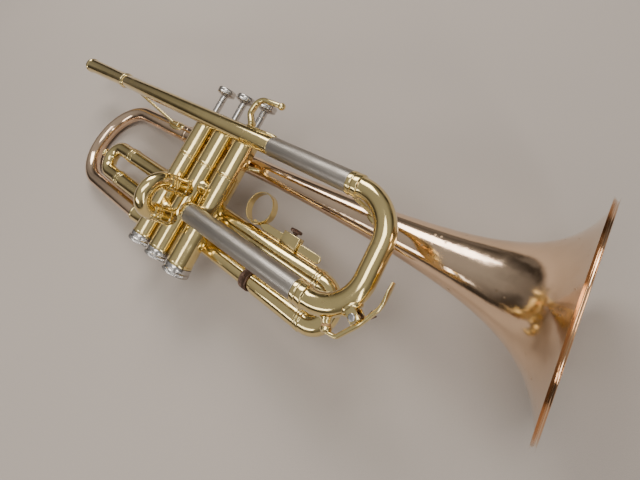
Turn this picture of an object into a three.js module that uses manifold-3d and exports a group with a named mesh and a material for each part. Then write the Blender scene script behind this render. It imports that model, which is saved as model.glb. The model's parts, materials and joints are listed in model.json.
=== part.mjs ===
// A B-flat trumpet as an assembly: bell, leadpipe, three piston valves, four slides, water key and trim.
// Each piece is drawn in the playing frame: x towards the bell, y to the player's left, z up, with the
// origin on the second valve's axis under the bottom caps. The whole is then laid down on its left side.
import * as THREE from "three";
import { mergeVertices } from "three/addons/utils/BufferGeometryUtils.js";
import { ConvexHull } from "three/addons/math/ConvexHull.js";
import Module from "manifold-3d";

// ---- Driving dimensions, in millimetres ----
const GAP = 0.3; // left between pieces that touch
const VALVE_PITCH = 25;
const VALVE_STROKE = 16.5;
const CASING_R = 9.7;
const CASING_WALL = 1.05;
const CASING_HEIGHT = 118; // over both caps
const CAP_HEIGHT = 7;
const CAP_WALL = 0.9;
const CAP_RIM_R = CASING_R + 0.9;
const CASING_SEAM_Z = 78;
const PISTON_LENGTH = 58;
const PISTON_WALL = 1;
const STEM_R = 3;
const BUTTON_R = 8.2;
const BUTTON_HEIGHT = 6.4;
const PEARL_R = 6.6;
const SPRING_R = 6.2;
const SPRING_WIRE_R = 0.45;
const SPRING_TURNS = 5;

const LEAD_Z = 111;
const LEAD_START_X = -222;
const RECEIVER_LENGTH = 82;
const SHANK_R = 4.9; // mouth of the socket that takes the mouthpiece
const LEAD_R_REAR = 6.5;
const LEAD_R_FRONT = 6.7;
const TUBE_WALL = 0.6;
const OUTER_SLIDE_R = 6.9;
const LEAD_Y = -(CASING_R + OUTER_SLIDE_R + GAP + 0.5);
const SLIDE_CLEARANCE = 0.3;
const UPPER_OUTER_START_X = 64;
const LOWER_OUTER_START_X = VALVE_PITCH + 2;
const TUNING_JOINT_X = 130;
const FERRULE_LENGTH = 8;
const LOWER_Z = 44;
const TUNING_BEND_R = 25;
const TUNING_TRAVEL = 28;
const TUNING_LEG_LENGTH = TUNING_TRAVEL + 20;

const BELL_RIM_R = 61.5;
const BELL_RIM_X = 250;
const BELL_RIM_Y = CASING_R + 11.8;
const BELL_RIM_Z = 101;
const BELL_REAR_X = -132;
const BELL_REAR_Y = CASING_R + 8.1;
const BELL_REAR_Z = 91;
const BELL_FLARE_LENGTH = 12.9; // sets how quickly the flare opens
const BELL_FLARE_POWER = 0.75;
const BELL_WALL = 0.7;
const BELL_BEAD_R = 1.4;
const BELL_STEM_R = 7.7;
const BELL_SPLIT_X = -(VALVE_PITCH + 37);
const BELL_TAIL_R = 6.3;
const BELL_TAIL_Y = 6;
const BELL_TAIL_Z = 14;
const BELL_FERRULE_LENGTH = 16;

const FIRST_Z = [52.2, OUTER_SLIDE_R + 22.4];
const FIRST_SLEEVE_END_X = -(VALVE_PITCH + 63);
const FIRST_CROOK_X = FIRST_SLEEVE_END_X - 23;
const FIRST_TRAVEL = 22;
const FIRST_LEG_LENGTH = FIRST_TRAVEL + 18;
const SECOND_Z = [55, 31.3];
const SECOND_SLEEVE_END_Y = -(CASING_R + 12.3);
const SECOND_CROOK_Y = SECOND_SLEEVE_END_Y - 6.5;
const SECOND_TRAVEL = 8;
const THIRD_Y = CASING_R + OUTER_SLIDE_R - 3.6;
const THIRD_Z = [50.5, 25.5];
const THIRD_UPPER_X = VALVE_PITCH + CASING_R - 1.7;
const THIRD_LOWER_X = THIRD_UPPER_X + 51;
const THIRD_JOINT_X = THIRD_LOWER_X + 39;
const THIRD_TRAVEL = 28;
const THIRD_INNER_END_X = THIRD_LOWER_X + THIRD_TRAVEL + 5;

const RING_X = THIRD_UPPER_X + 24.6;
const RING_R = 12;
const RING_Z = THIRD_Z[0] + OUTER_SLIDE_R + RING_R + 0.8;
const RING_WIDTH = 6.5;
const RING_STRAP = 1.1;
const RING_BAR_END_X = RING_X + 61.4;
const RING_HOLDER_X = RING_X + 35.4;
const RING_HOLDER_LENGTH = 14;
const HOOK_X = 48;

const TUBE_SIDES = 12;
const ROUND_SIDES = 16;
const BELL_SIDES = 32;
const BEND_STEP = THREE.MathUtils.degToRad(22.5);

const wasm = await Module();
wasm.setup();

const vec = (x, y, z) => new THREE.Vector3(x, y, z);
const VALVE_X = [-VALVE_PITCH, 0, VALVE_PITCH];

// ---- Solids ----
// A closed geometry as a solid, turned the right way out.
function solidOf(geometry) {
  const bare = geometry.index ? geometry.toNonIndexed() : geometry.clone();
  bare.deleteAttribute("normal");
  bare.deleteAttribute("uv");
  const merged = mergeVertices(bare, 1e-4);
  const corner = merged.index.array;
  const triVerts = [];
  for (let i = 0; i < corner.length; i += 3) {
    const [a, b, c] = [corner[i], corner[i + 1], corner[i + 2]];
    if (a !== b && b !== c && c !== a) triVerts.push(a, b, c);
  }
  const vertProperties = merged.attributes.position.array;
  const build = (order) =>
    new wasm.Manifold(
      new wasm.Mesh({ numProp: 3, vertProperties, triVerts: new Uint32Array(order) }),
    );
  const made = build(triVerts);
  return made.volume() > 0 ? made : build(triVerts.toReversed());
}

function geometryOf(solid) {
  const mesh = solid.getMesh();
  const geometry = new THREE.BufferGeometry();
  geometry.setAttribute("position", new THREE.BufferAttribute(mesh.vertProperties, 3));
  geometry.setIndex(new THREE.BufferAttribute(mesh.triVerts, 1));
  geometry.computeVertexNormals();
  return geometry;
}

const join = (first, ...others) => others.reduce((sum, part) => sum.add(part), first);
const cut = (first, ...others) => others.reduce((rest, tool) => rest.subtract(tool), first);

// ---- Routes: straight legs with rounded corners ----
class Route {
  constructor(corners, bend = 0) {
    this.pieces = [];
    let at = corners[0];
    let s = 0;
    const push = (length, locate, steps) => {
      this.pieces.push({ from: s, length, locate, steps });
      s += length;
    };
    const straight = (to) => {
      const from = at.clone();
      const way = to.clone().sub(from);
      const length = way.length();
      if (length > 1e-6) {
        way.normalize();
        push(length, (d) => [from.clone().addScaledVector(way, d), way.clone()], 1);
      }
      at = to;
    };
    for (let i = 1; i < corners.length - 1; i++) {
      const radius = Array.isArray(bend) ? bend[i - 1] : bend;
      const into = corners[i].clone().sub(corners[i - 1]).normalize();
      const out = corners[i + 1].clone().sub(corners[i]).normalize();
      const angle = into.angleTo(out);
      const reach = radius * Math.tan(angle / 2);
      straight(corners[i].clone().addScaledVector(into, -reach));
      const start = at.clone();
      const inward = out.clone().addScaledVector(into, -out.dot(into)).normalize();
      const centre = start.clone().addScaledVector(inward, radius);
      const locate = (d) => {
        const a = d / radius;
        const point = centre.clone().addScaledVector(inward, -radius * Math.cos(a));
        point.addScaledVector(into, radius * Math.sin(a));
        const way = into.clone().multiplyScalar(Math.cos(a));
        return [point, way.addScaledVector(inward, Math.sin(a))];
      };
      push(radius * angle, locate, Math.ceil(angle / BEND_STEP));
      at = corners[i].clone().addScaledVector(out, reach);
    }
    straight(corners.at(-1));
    this.length = s;
  }

  // The point and the direction at a distance along the route, which goes on straight past its ends.
  locate(s) {
    const piece = this.pieces.find((p) => s <= p.from + p.length + 1e-9) ?? this.pieces.at(-1);
    const inside = THREE.MathUtils.clamp(s - piece.from, 0, piece.length);
    const [point, way] = piece.locate(inside);
    return [point.addScaledVector(way, s - piece.from - inside), way];
  }

  // Adds the stations that the bends need to a profile of [distance, radius] pairs.
  fill(profile) {
    const bends = this.pieces.flatMap(({ from, length, steps }) =>
      Array.from({ length: steps + 1 }, (_, k) => from + (length * k) / steps),
    );
    const full = [profile[0]];
    for (let i = 1; i < profile.length; i++) {
      const [s0, r0] = profile[i - 1];
      const [s1, r1] = profile[i];
      for (const s of bends) {
        if (s > s0 + 0.2 && s < s1 - 0.2 && s - full.at(-1)[0] > 0.2) {
          full.push([s, r0 + ((r1 - r0) * (s - s0)) / (s1 - s0)]);
        }
      }
      full.push(profile[i]);
    }
    return full;
  }

  // Frames at the given distances, each turned as little as it can be from the one before.
  frames(distances) {
    const order = distances.map((s, i) => [s, i]).sort((a, b) => a[0] - b[0]);
    const found = new Array(distances.length);
    let [, way] = this.locate(order[0][0]);
    let side = vec(0, 0, 1).cross(way);
    if (side.length() < 0.1) side = vec(0, 1, 0);
    side.normalize();
    for (const [s, i] of order) {
      const [point, next] = this.locate(s);
      side.applyQuaternion(new THREE.Quaternion().setFromUnitVectors(way, next));
      way = next;
      found[i] = { point, side: side.clone(), up: way.clone().cross(side) };
    }
    return found;
  }
}

const line = (from, to) => new Route([from, to]);

// A turned shape bent along a route. The outline is a closed loop of [distance, radius] pairs.
function turned(route, outline, sides) {
  const lathe = new THREE.LatheGeometry(
    outline.map(([s, r]) => new THREE.Vector2(r, s)),
    sides,
  );
  const frames = route.frames(outline.map(([s]) => s));
  const position = lathe.attributes.position;
  for (let k = 0; k < position.count; k++) {
    const { point, side, up } = frames[k % outline.length];
    const at = point.clone().addScaledVector(side, position.getX(k));
    at.addScaledVector(up, position.getZ(k));
    position.setXYZ(k, at.x, at.y, at.z);
  }
  return solidOf(lathe);
}

// A solid rod, with the radii that its stations give.
function rod(route, stations, sides = TUBE_SIDES) {
  const skin = route.fill(stations);
  return turned(route, [[skin[0][0], 0], ...skin, [skin.at(-1)[0], 0]], sides);
}

// A tube, open at both ends.
function tube(route, stations, bore, sides = TUBE_SIDES) {
  const outside = route.fill(stations);
  const inside = route.fill(bore).reverse();
  return turned(route, [...outside, ...inside, outside[0]], sides);
}

// A plain tube from one end of a route to the other, or over the part of it that is given.
function pipe(route, radius, bore, from = 0, to = route.length, sides = TUBE_SIDES) {
  return tube(route, [[from, radius], [to, radius]], [[from, bore], [to, bore]], sides);
}

function ball(centre, radius, sides = 10) {
  const sphere = new THREE.SphereGeometry(radius, sides, Math.ceil(sides * 0.6));
  return solidOf(sphere.translate(centre.x, centre.y, centre.z));
}

function box(centre, x, y, z) {
  return solidOf(new THREE.BoxGeometry(x, y, z).translate(centre.x, centre.y, centre.z));
}

// A thin oval plate wrapped round a tube, on the side that a direction points to.
function saddle(route, radius, at, side, length, width, thickness = 1) {
  const [point, way] = route.locate(at);
  const inner = radius + GAP;
  const reach = length / 2 + 2;
  const shell = pipe(route, inner + thickness, inner, at - reach, at + reach, ROUND_SIDES);
  const oval = new THREE.Shape().absellipse(0, 0, length / 2, width / 2, 0, 2 * Math.PI);
  const depth = 2 * inner;
  const prism = new THREE.ExtrudeGeometry(oval, { depth, bevelEnabled: false, curveSegments: 7 });
  const across = side.clone().cross(way).normalize();
  const out = way.clone().cross(across);
  prism.applyMatrix4(new THREE.Matrix4().makeBasis(way, across, out).setPosition(point));
  return shell.intersect(solidOf(prism));
}

// ---- Materials ----
const paint = (color, roughness) =>
  new THREE.MeshStandardMaterial({ color, roughness, metalness: 1 });
const LACQUER = 0xd0b25c;
const ROSE = 0xc98d68;
const NICKEL = 0xa5a09a;
const STEEL = 0x8a8784;
const DARK = 0x4a3c32;
const PEARL = 0xe6e2da;

const instrument = new THREE.Group();

function add(name, solid, color = LACQUER, roughness = 0.2, group = instrument) {
  const mesh = new THREE.Mesh(geometryOf(solid), paint(color, roughness));
  mesh.name = name;
  group.add(mesh);
  return mesh;
}

// ---- Valves ----
const PISTON_R = CASING_R - CASING_WALL - GAP;
const CASING_BORE = CASING_R - CASING_WALL;
const THREAD_R = CASING_R - 0.5;
const CAP_BORE = THREAD_R + GAP;
const CAP_FLOOR = 2;
const PISTON_BOTTOM = CAP_FLOOR + 2 * SPRING_WIRE_R * SPRING_TURNS + VALVE_STROKE + 2;
const PISTON_TOP = PISTON_BOTTOM + PISTON_LENGTH;
const BUTTON_Z = CASING_HEIGHT + VALVE_STROKE + 0.6;

// What is cut from the pieces that meet a valve: its casing and the caps at both ends, and a gap.
const casingTools = VALVE_X.map((x) => {
  const axis = line(vec(x, 0, -1), vec(x, 0, CASING_HEIGHT + 1));
  const around = (from, to, radius) =>
    rod(axis, [[from, radius + GAP], [to, radius + GAP]], ROUND_SIDES);
  const capEnd = CAP_HEIGHT + 1 + GAP;
  return join(
    around(0, axis.length, CASING_R),
    around(0, capEnd, CAP_RIM_R),
    around(axis.length - capEnd, axis.length, CAP_RIM_R),
  );
});

function casing(x) {
  const axis = line(vec(x, 0, 0), vec(x, 0, CASING_HEIGHT));
  const low = CAP_FLOOR + GAP;
  const high = CASING_HEIGHT - CAP_FLOOR - GAP;
  const seam = 0.5;
  return tube(
    axis,
    [
      [low, THREAD_R],
      [CAP_HEIGHT + GAP, THREAD_R],
      [CAP_HEIGHT + GAP + 0.01, CASING_R],
      [CASING_SEAM_Z - 1.4 * seam, CASING_R],
      [CASING_SEAM_Z, CASING_R - seam],
      [CASING_SEAM_Z + 1.4 * seam, CASING_R],
      [CASING_HEIGHT - CAP_HEIGHT - GAP - 0.01, CASING_R],
      [CASING_HEIGHT - CAP_HEIGHT - GAP, THREAD_R],
      [high, THREAD_R],
    ],
    [[low, CASING_BORE], [high, CASING_BORE]],
    ROUND_SIDES,
  );
}

// A cap along an axis that runs from its closed end to its open end.
function cap(axis, hole) {
  return tube(
    axis,
    [
      [0, CAP_RIM_R - 0.6],
      [0.6, CAP_RIM_R],
      [3, CAP_RIM_R],
      [3.8, CAP_BORE + CAP_WALL - 0.15],
      [CAP_HEIGHT, CAP_BORE + CAP_WALL - 0.3],
    ],
    [[0, hole], [CAP_FLOOR, hole], [CAP_FLOOR + 0.01, CAP_BORE], [CAP_HEIGHT, CAP_BORE]],
    ROUND_SIDES,
  );
}

function spring(x) {
  const from = CAP_FLOOR + SPRING_WIRE_R + 0.15;
  const height = PISTON_BOTTOM - from - SPRING_WIRE_R - 0.15;
  class Helix extends THREE.Curve {
    getPoint(t, target = vec(0, 0, 0)) {
      const a = 2 * Math.PI * SPRING_TURNS * t;
      return target.set(x + SPRING_R * Math.cos(a), SPRING_R * Math.sin(a), from + height * t);
    }
  }
  const wire = new THREE.Shape().absarc(0, 0, SPRING_WIRE_R, 0, 2 * Math.PI);
  const steps = SPRING_TURNS * 8;
  return solidOf(
    new THREE.ExtrudeGeometry(wire, { steps, extrudePath: new Helix(), curveSegments: 2 }),
  );
}

VALVE_X.forEach((x, index) => {
  const number = index + 1;
  const up = (from, to) => line(vec(x, 0, from), vec(x, 0, to));
  add(`valve_casing_${number}`, casing(x));
  add(`bottom_cap_${number}`, cap(up(0, CAP_HEIGHT), 2.5), NICKEL, 0.3);
  const downwards = line(vec(x, 0, CASING_HEIGHT), vec(x, 0, CASING_HEIGHT - CAP_HEIGHT));
  add(`top_cap_${number}`, cap(downwards, STEM_R + 0.5), NICKEL, 0.3);
  const bore = PISTON_R - PISTON_WALL;
  const piston = tube(
    up(0, PISTON_TOP),
    [[PISTON_BOTTOM, PISTON_R], [PISTON_TOP, PISTON_R]],
    [
      [PISTON_BOTTOM, SPRING_R / 2],
      [PISTON_BOTTOM + 2, SPRING_R / 2],
      [PISTON_BOTTOM + 2.01, bore],
      [PISTON_TOP - 2, bore],
      [PISTON_TOP - 1.99, STEM_R],
      [PISTON_TOP, STEM_R],
    ],
    ROUND_SIDES,
  );
  add(`piston_${number}`, piston, STEEL, 0.25);
  const stem = rod(up(0, BUTTON_Z), [[PISTON_TOP + GAP, STEM_R], [BUTTON_Z - GAP, STEM_R]]);
  add(`valve_stem_${number}`, stem, NICKEL, 0.2);
  const seat = BUTTON_HEIGHT - 1.6;
  const button = turned(
    up(BUTTON_Z, BUTTON_Z + BUTTON_HEIGHT),
    [
      [0, 0],
      [0, STEM_R + 0.8],
      [1.2, BUTTON_R - 1],
      [2.2, BUTTON_R],
      [BUTTON_HEIGHT - 1, BUTTON_R],
      [BUTTON_HEIGHT, BUTTON_R - 0.8],
      [BUTTON_HEIGHT, PEARL_R + GAP],
      [seat, PEARL_R + GAP],
      [seat, 0],
    ],
    ROUND_SIDES,
  );
  add(`finger_button_${number}`, button, NICKEL, 0.25);
  const top = BUTTON_Z + seat + GAP;
  const pearl = rod(up(top, top + 1.6), [[0, PEARL_R], [1.3, PEARL_R], [1.6, PEARL_R - 0.8]]);
  add(`pearl_${number}`, pearl, PEARL, 0.3).material.metalness = 0;
  add(`valve_spring_${number}`, spring(x), STEEL, 0.3);
});

// Short tubes that carry the air from one valve to the next, between the casings.
[[0, 1, 33], [1, 2, THIRD_Z[0] + OUTER_SLIDE_R + 4.6]].forEach(([a, b, z]) => {
  const route = line(vec(VALVE_X[a], 0, z), vec(VALVE_X[b], 0, z));
  add(`casing_bridge_${a + 1}_${b + 1}`, cut(pipe(route, 6, 5.4), casingTools[a], casingTools[b]));
});

// ---- Leadpipe and the fixed tubes of the main tuning slide ----
const lead = line(vec(LEAD_START_X, LEAD_Y, LEAD_Z), vec(TUNING_JOINT_X, LEAD_Y, LEAD_Z));
const along = (x) => x - LEAD_START_X;
const OUTER_BORE = OUTER_SLIDE_R - TUBE_WALL;
const INNER_R = OUTER_BORE - SLIDE_CLEARANCE;
const INNER_BORE = INNER_R - TUBE_WALL;
const SOCKET = 7; // how far fixed tubes go into each other

const receiverNose = LEAD_R_REAR - 0.5;
const receiver = tube(
  lead,
  [
    [0, LEAD_R_REAR + 0.3],
    [0.8, LEAD_R_REAR + 1.1],
    [3.2, LEAD_R_REAR + 1.1],
    [4.4, LEAD_R_REAR + 0.5],
    [RECEIVER_LENGTH - 6, LEAD_R_REAR + 0.3],
    [RECEIVER_LENGTH - 5, LEAD_R_REAR + 0.9],
    [RECEIVER_LENGTH - 3, LEAD_R_REAR + 0.9],
    [RECEIVER_LENGTH, LEAD_R_REAR + 0.6],
  ],
  [
    [0, SHANK_R],
    [RECEIVER_LENGTH - SOCKET - 2, SHANK_R - 0.6],
    [RECEIVER_LENGTH - SOCKET, receiverNose + GAP],
    [RECEIVER_LENGTH, receiverNose + GAP],
  ],
);
add("mouthpiece_receiver", receiver);

const leadInsideX = UPPER_OUTER_START_X + SOCKET + 5;
const leadpipe = tube(
  lead,
  [
    [RECEIVER_LENGTH - SOCKET + GAP, receiverNose],
    [RECEIVER_LENGTH + GAP, receiverNose],
    [RECEIVER_LENGTH + GAP + 0.01, LEAD_R_REAR],
    [along(UPPER_OUTER_START_X) - GAP, LEAD_R_FRONT],
    [along(UPPER_OUTER_START_X) - GAP + 0.01, INNER_R],
    [along(leadInsideX), INNER_R],
  ],
  [[RECEIVER_LENGTH - SOCKET + GAP, receiverNose - 0.6], [along(leadInsideX), INNER_BORE]],
);
add("leadpipe", leadpipe);

const upperOuter = pipe(lead, OUTER_SLIDE_R, OUTER_BORE, along(UPPER_OUTER_START_X), lead.length);
add("upper_outer_slide", upperOuter, NICKEL, 0.35);
const lower = line(
  vec(LOWER_OUTER_START_X, LEAD_Y, LOWER_Z),
  vec(TUNING_JOINT_X, LEAD_Y, LOWER_Z),
);
add("lower_outer_slide", pipe(lower, OUTER_SLIDE_R, OUTER_BORE), NICKEL, 0.35);

// The elbow from the lower tube round into the side of the third valve.
const elbowRoute = new Route(
  [
    vec(LOWER_OUTER_START_X + SOCKET, LEAD_Y, LOWER_Z),
    vec(LOWER_OUTER_START_X - 14.2, LEAD_Y, LOWER_Z),
    vec(VALVE_PITCH - 3, -3, LOWER_Z),
  ],
  7.2,
);
const elbow = tube(
  elbowRoute,
  [
    [0, INNER_R],
    [SOCKET + GAP, INNER_R],
    [SOCKET + GAP + 0.01, INNER_R + 0.4],
    [elbowRoute.length, INNER_R],
  ],
  [[0, INNER_BORE], [elbowRoute.length, INNER_BORE]],
);
add("third_valve_elbow", cut(elbow, casingTools[1], casingTools[2]));

// ---- Slides: a crook with a ferrule at each end, and the legs that slide in or over the fixed tubes ----
function crookRoute(start, end, way, reach, bend = start.distanceTo(end) / 2 - 0.001) {
  const a = start.clone().addScaledVector(way, reach);
  const b = end.clone().addScaledVector(way, reach);
  return new Route([start, a, b, end], bend);
}

function crook(route, ferrule, radius, ferruleRadius, bore = radius - TUBE_WALL) {
  const ending = (s, flip) => {
    const steps = [
      [0, ferruleRadius],
      [ferrule - 0.6, ferruleRadius],
      [ferrule, radius],
    ];
    return flip ? steps.map(([d, r]) => [s - d, r]).reverse() : steps.map(([d, r]) => [s + d, r]);
  };
  return tube(
    route,
    [...ending(0, false), ...ending(route.length, true)],
    [[0, bore], [route.length, bore]],
  );
}

const FORWARD = vec(1, 0, 0);
const BACKWARD = vec(-1, 0, 0);
const RIGHTWARD = vec(0, -1, 0);
const tuningStart = TUNING_JOINT_X + GAP;
const tuningRoute = crookRoute(
  vec(tuningStart, LEAD_Y, LEAD_Z),
  vec(tuningStart, LEAD_Y, LOWER_Z),
  FORWARD,
  FERRULE_LENGTH + TUNING_BEND_R,
  TUNING_BEND_R,
);
const FERRULE_R = OUTER_SLIDE_R + 0.5;
const legNose = 5; // how far an inner leg goes into its ferrule
const crookBore = INNER_BORE - 0.1;
const tuningSocket = [LEAD_Z, LOWER_Z].map((z) => {
  const route = line(vec(tuningStart - 1, LEAD_Y, z), vec(tuningStart + legNose + GAP, LEAD_Y, z));
  return rod(route, [[0, INNER_R + GAP], [route.length, INNER_R + GAP]]);
});
const tuningCrook = cut(
  crook(tuningRoute, FERRULE_LENGTH, INNER_R + 0.35, FERRULE_R, crookBore),
  ...tuningSocket,
);
[["upper", LEAD_Z], ["lower", LOWER_Z]].forEach(([name, z]) => {
  const start = TUNING_JOINT_X - TUNING_LEG_LENGTH;
  const leg = line(vec(start, LEAD_Y, z), vec(tuningStart + legNose, LEAD_Y, z));
  add(`tuning_${name}_leg`, pipe(leg, INNER_R, INNER_BORE), NICKEL, 0.3);
});

// First slide: two fixed sleeves behind valve 1, and a crook that pulls out towards the player.
const FIRST_BORE = INNER_R;
const FIRST_R = FIRST_BORE + TUBE_WALL;
const FIRST_INNER_R = FIRST_BORE - SLIDE_CLEARANCE;
FIRST_Z.forEach((z, i) => {
  const sleeve = line(vec(-VALVE_PITCH, 0, z), vec(FIRST_SLEEVE_END_X, 0, z));
  const piece = pipe(sleeve, FIRST_R, FIRST_BORE);
  add(`first_slide_${["upper", "lower"][i]}_sleeve`, cut(piece, casingTools[0]));
});
const firstHalf = (FIRST_Z[0] - FIRST_Z[1]) / 2;
const firstStart = FIRST_SLEEVE_END_X - GAP;
const firstRoute = crookRoute(
  vec(firstStart, 0, FIRST_Z[0]),
  vec(firstStart, 0, FIRST_Z[1]),
  BACKWARD,
  firstStart - FIRST_CROOK_X + firstHalf,
);
const innerLegs = (zs, legAt) =>
  zs.map((z) => pipe(legAt(z), FIRST_INNER_R, FIRST_INNER_R - TUBE_WALL));
const firstLegs = innerLegs(FIRST_Z, (z) =>
  line(vec(firstStart - 1, 0, z), vec(firstStart + FIRST_LEG_LENGTH, 0, z)),
);
const firstCrook = crook(firstRoute, 7, FIRST_R - 0.2, FIRST_R + 0.3, FIRST_INNER_R - TUBE_WALL);
const knobX = FIRST_CROOK_X - firstHalf - FIRST_R;
const knobZ = (FIRST_Z[0] + FIRST_Z[1]) / 2;
add("first_slide", join(firstCrook, ...firstLegs));
const knob = rod(
  line(vec(knobX - GAP, 0, knobZ), vec(knobX - GAP - 8.2, 0, knobZ)),
  [[0, 2.6], [1.2, 2.6], [1.8, 1.5], [3.4, 1.5], [4, 3.2], [5.6, 3.9], [7.2, 3.2], [8.2, 1.4]],
);
add("first_slide_knob", knob);

// Second slide: a short crook that stands out to the right of valve 2.
SECOND_Z.forEach((z, i) => {
  const sleeve = line(vec(0, 0, z), vec(0, SECOND_SLEEVE_END_Y, z));
  const piece = tube(
    sleeve,
    [
      [0, FIRST_R],
      [CASING_R + 1.5, FIRST_R],
      [CASING_R + 3, FIRST_R + 0.5],
      [CASING_R + 4.5, FIRST_R],
      [sleeve.length, FIRST_R],
    ],
    [[0, FIRST_BORE], [sleeve.length, FIRST_BORE]],
  );
  add(`second_slide_${["upper", "lower"][i]}_sleeve`, cut(piece, casingTools[1]));
});
const secondHalf = (SECOND_Z[0] - SECOND_Z[1]) / 2;
const secondStart = SECOND_SLEEVE_END_Y - GAP;
const secondRoute = crookRoute(
  vec(0, secondStart, SECOND_Z[0]),
  vec(0, secondStart, SECOND_Z[1]),
  RIGHTWARD,
  secondStart - SECOND_CROOK_Y + secondHalf,
);
const secondLegs = innerLegs(SECOND_Z, (z) =>
  line(vec(0, secondStart - 1, z), vec(0, -CASING_R - 1.2, z)),
);
const secondCrook = crook(secondRoute, 6, FIRST_R - 0.4, FIRST_R + 0.2, FIRST_INNER_R - TUBE_WALL);
add("second_slide", join(secondCrook, ...secondLegs));

// Third slide: fixed inner tubes in front of valve 3, with outer tubes that run over them.
const thirdSides = ["upper", "lower"];
const thirdStart = [THIRD_UPPER_X, THIRD_LOWER_X];
THIRD_Z.forEach((z, i) => {
  const knuckle = new Route(
    [
      vec(VALVE_PITCH - 6, 0, z),
      vec(VALVE_PITCH - 1, THIRD_Y, z),
      vec(THIRD_INNER_END_X, THIRD_Y, z),
    ],
    THIRD_Y - 5.8,
  );
  const bulk = i === 0 ? OUTER_SLIDE_R : INNER_R;
  const jointAt = knuckle.length - (THIRD_INNER_END_X - thirdStart[i]) - GAP;
  const shape = tube(
    knuckle,
    [[0, bulk], [jointAt, bulk], [jointAt + 0.01, INNER_R], [knuckle.length, INNER_R]],
    [[0, INNER_BORE], [knuckle.length, INNER_BORE]],
  );
  add(`third_slide_${thirdSides[i]}_inner`, cut(shape, casingTools[2]));
  const outer = line(vec(thirdStart[i], THIRD_Y, z), vec(THIRD_JOINT_X, THIRD_Y, z));
  add(`third_slide_${thirdSides[i]}_outer`, pipe(outer, OUTER_SLIDE_R, OUTER_BORE));
});
const thirdHalf = (THIRD_Z[0] - THIRD_Z[1]) / 2;
const thirdFront = THIRD_JOINT_X + GAP;
const thirdRoute = crookRoute(
  vec(thirdFront, THIRD_Y, THIRD_Z[0]),
  vec(thirdFront, THIRD_Y, THIRD_Z[1]),
  FORWARD,
  4 + thirdHalf,
);
const thirdCrook = crook(
  thirdRoute,
  4,
  OUTER_SLIDE_R - 0.3,
  OUTER_SLIDE_R + 0.3,
  OUTER_BORE - 0.3,
);
add("third_slide_crook", thirdCrook);
const NUT_LENGTH = 7;
const NUT_R = OUTER_SLIDE_R + 0.5;
const nutStart = THIRD_LOWER_X - 4 - NUT_LENGTH;
const nut = tube(
  line(vec(nutStart, THIRD_Y, THIRD_Z[1]), vec(nutStart + NUT_LENGTH, THIRD_Y, THIRD_Z[1])),
  [[0, NUT_R - 0.6], [0.6, NUT_R], [NUT_LENGTH - 0.6, NUT_R], [NUT_LENGTH, NUT_R - 0.6]],
  [[0, INNER_R + GAP], [NUT_LENGTH, INNER_R + GAP]],
);
add("third_slide_stop", nut, DARK, 0.5);

// ---- Bell ----
const bellAxis = line(
  vec(BELL_REAR_X, BELL_REAR_Y, BELL_REAR_Z),
  vec(BELL_RIM_X, BELL_RIM_Y, BELL_RIM_Z),
);
// A horn whose radius falls off as a power of the distance behind the rim, until it meets the stem.
function bellRadius(behindRim) {
  const horn = (1 + behindRim / BELL_FLARE_LENGTH) ** -BELL_FLARE_POWER * BELL_RIM_R;
  return Math.max(horn, BELL_STEM_R);
}
const bellSteps = [0, 1.5, 4, 8, 13, 20, 30, 44, 64, 95, 140, 190];
const bellSplit = BELL_SPLIT_X - BELL_REAR_X;
// The horn's line, set in square to itself by the given thickness.
const horn = (thickness) =>
  bellSteps.toReversed().map((d) => {
    const near = Math.max(d - 0.5, 0);
    const slope = Math.atan2(bellRadius(near) - bellRadius(d + 0.5), d + 0.5 - near);
    const s = bellAxis.length - d + thickness * Math.sin(slope);
    return [s, bellRadius(d) - thickness * Math.cos(slope)];
  });
const bellSkin = [
  [bellSplit, BELL_STEM_R],
  ...horn(0).slice(0, -1),
  [bellAxis.length - BELL_BEAD_R, BELL_RIM_R - 2.4],
  [bellAxis.length - 2 * BELL_BEAD_R, BELL_RIM_R - 0.5],
  [bellAxis.length - BELL_BEAD_R, BELL_RIM_R],
  [bellAxis.length, BELL_RIM_R - 0.5],
];
const bellInside = [[bellSplit, BELL_STEM_R - BELL_WALL], ...horn(BELL_WALL).slice(0, -1)];
bellInside.push([bellAxis.length, BELL_RIM_R - 2]);
const bellOutline = [...bellSkin, ...bellInside.reverse(), bellSkin[0]];
add("bell", turned(bellAxis, bellOutline, BELL_SIDES), ROSE, 0.18);

// The bow carries on behind the bell's stem, turns back under it and narrows to the first valve.
const [splitPoint] = bellAxis.locate(bellSplit - GAP);
const tailEnd = vec(-VALVE_PITCH, BELL_TAIL_Y, BELL_TAIL_Z);
const bellBack = vec(BELL_REAR_X, BELL_REAR_Y, BELL_REAR_Z);
const bowHalf = Math.hypot(BELL_REAR_Y - BELL_TAIL_Y, BELL_REAR_Z - BELL_TAIL_Z) / 2;
const bowBack = bellBack.clone().addScaledVector(BACKWARD, bowHalf);
const bowUnder = vec(bowBack.x, BELL_TAIL_Y, BELL_TAIL_Z);
const bowRoute = new Route([splitPoint, bowBack, bowUnder, tailEnd], bowHalf - 1);
const ferruleFrom = bowRoute.length - CASING_R - BELL_FERRULE_LENGTH;
const bow = tube(
  bowRoute,
  [[0, BELL_STEM_R], [ferruleFrom, BELL_TAIL_R]],
  [[0, BELL_STEM_R - BELL_WALL], [ferruleFrom, BELL_TAIL_R - BELL_WALL]],
);
add("bell_bow", bow, ROSE, 0.18);
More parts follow.
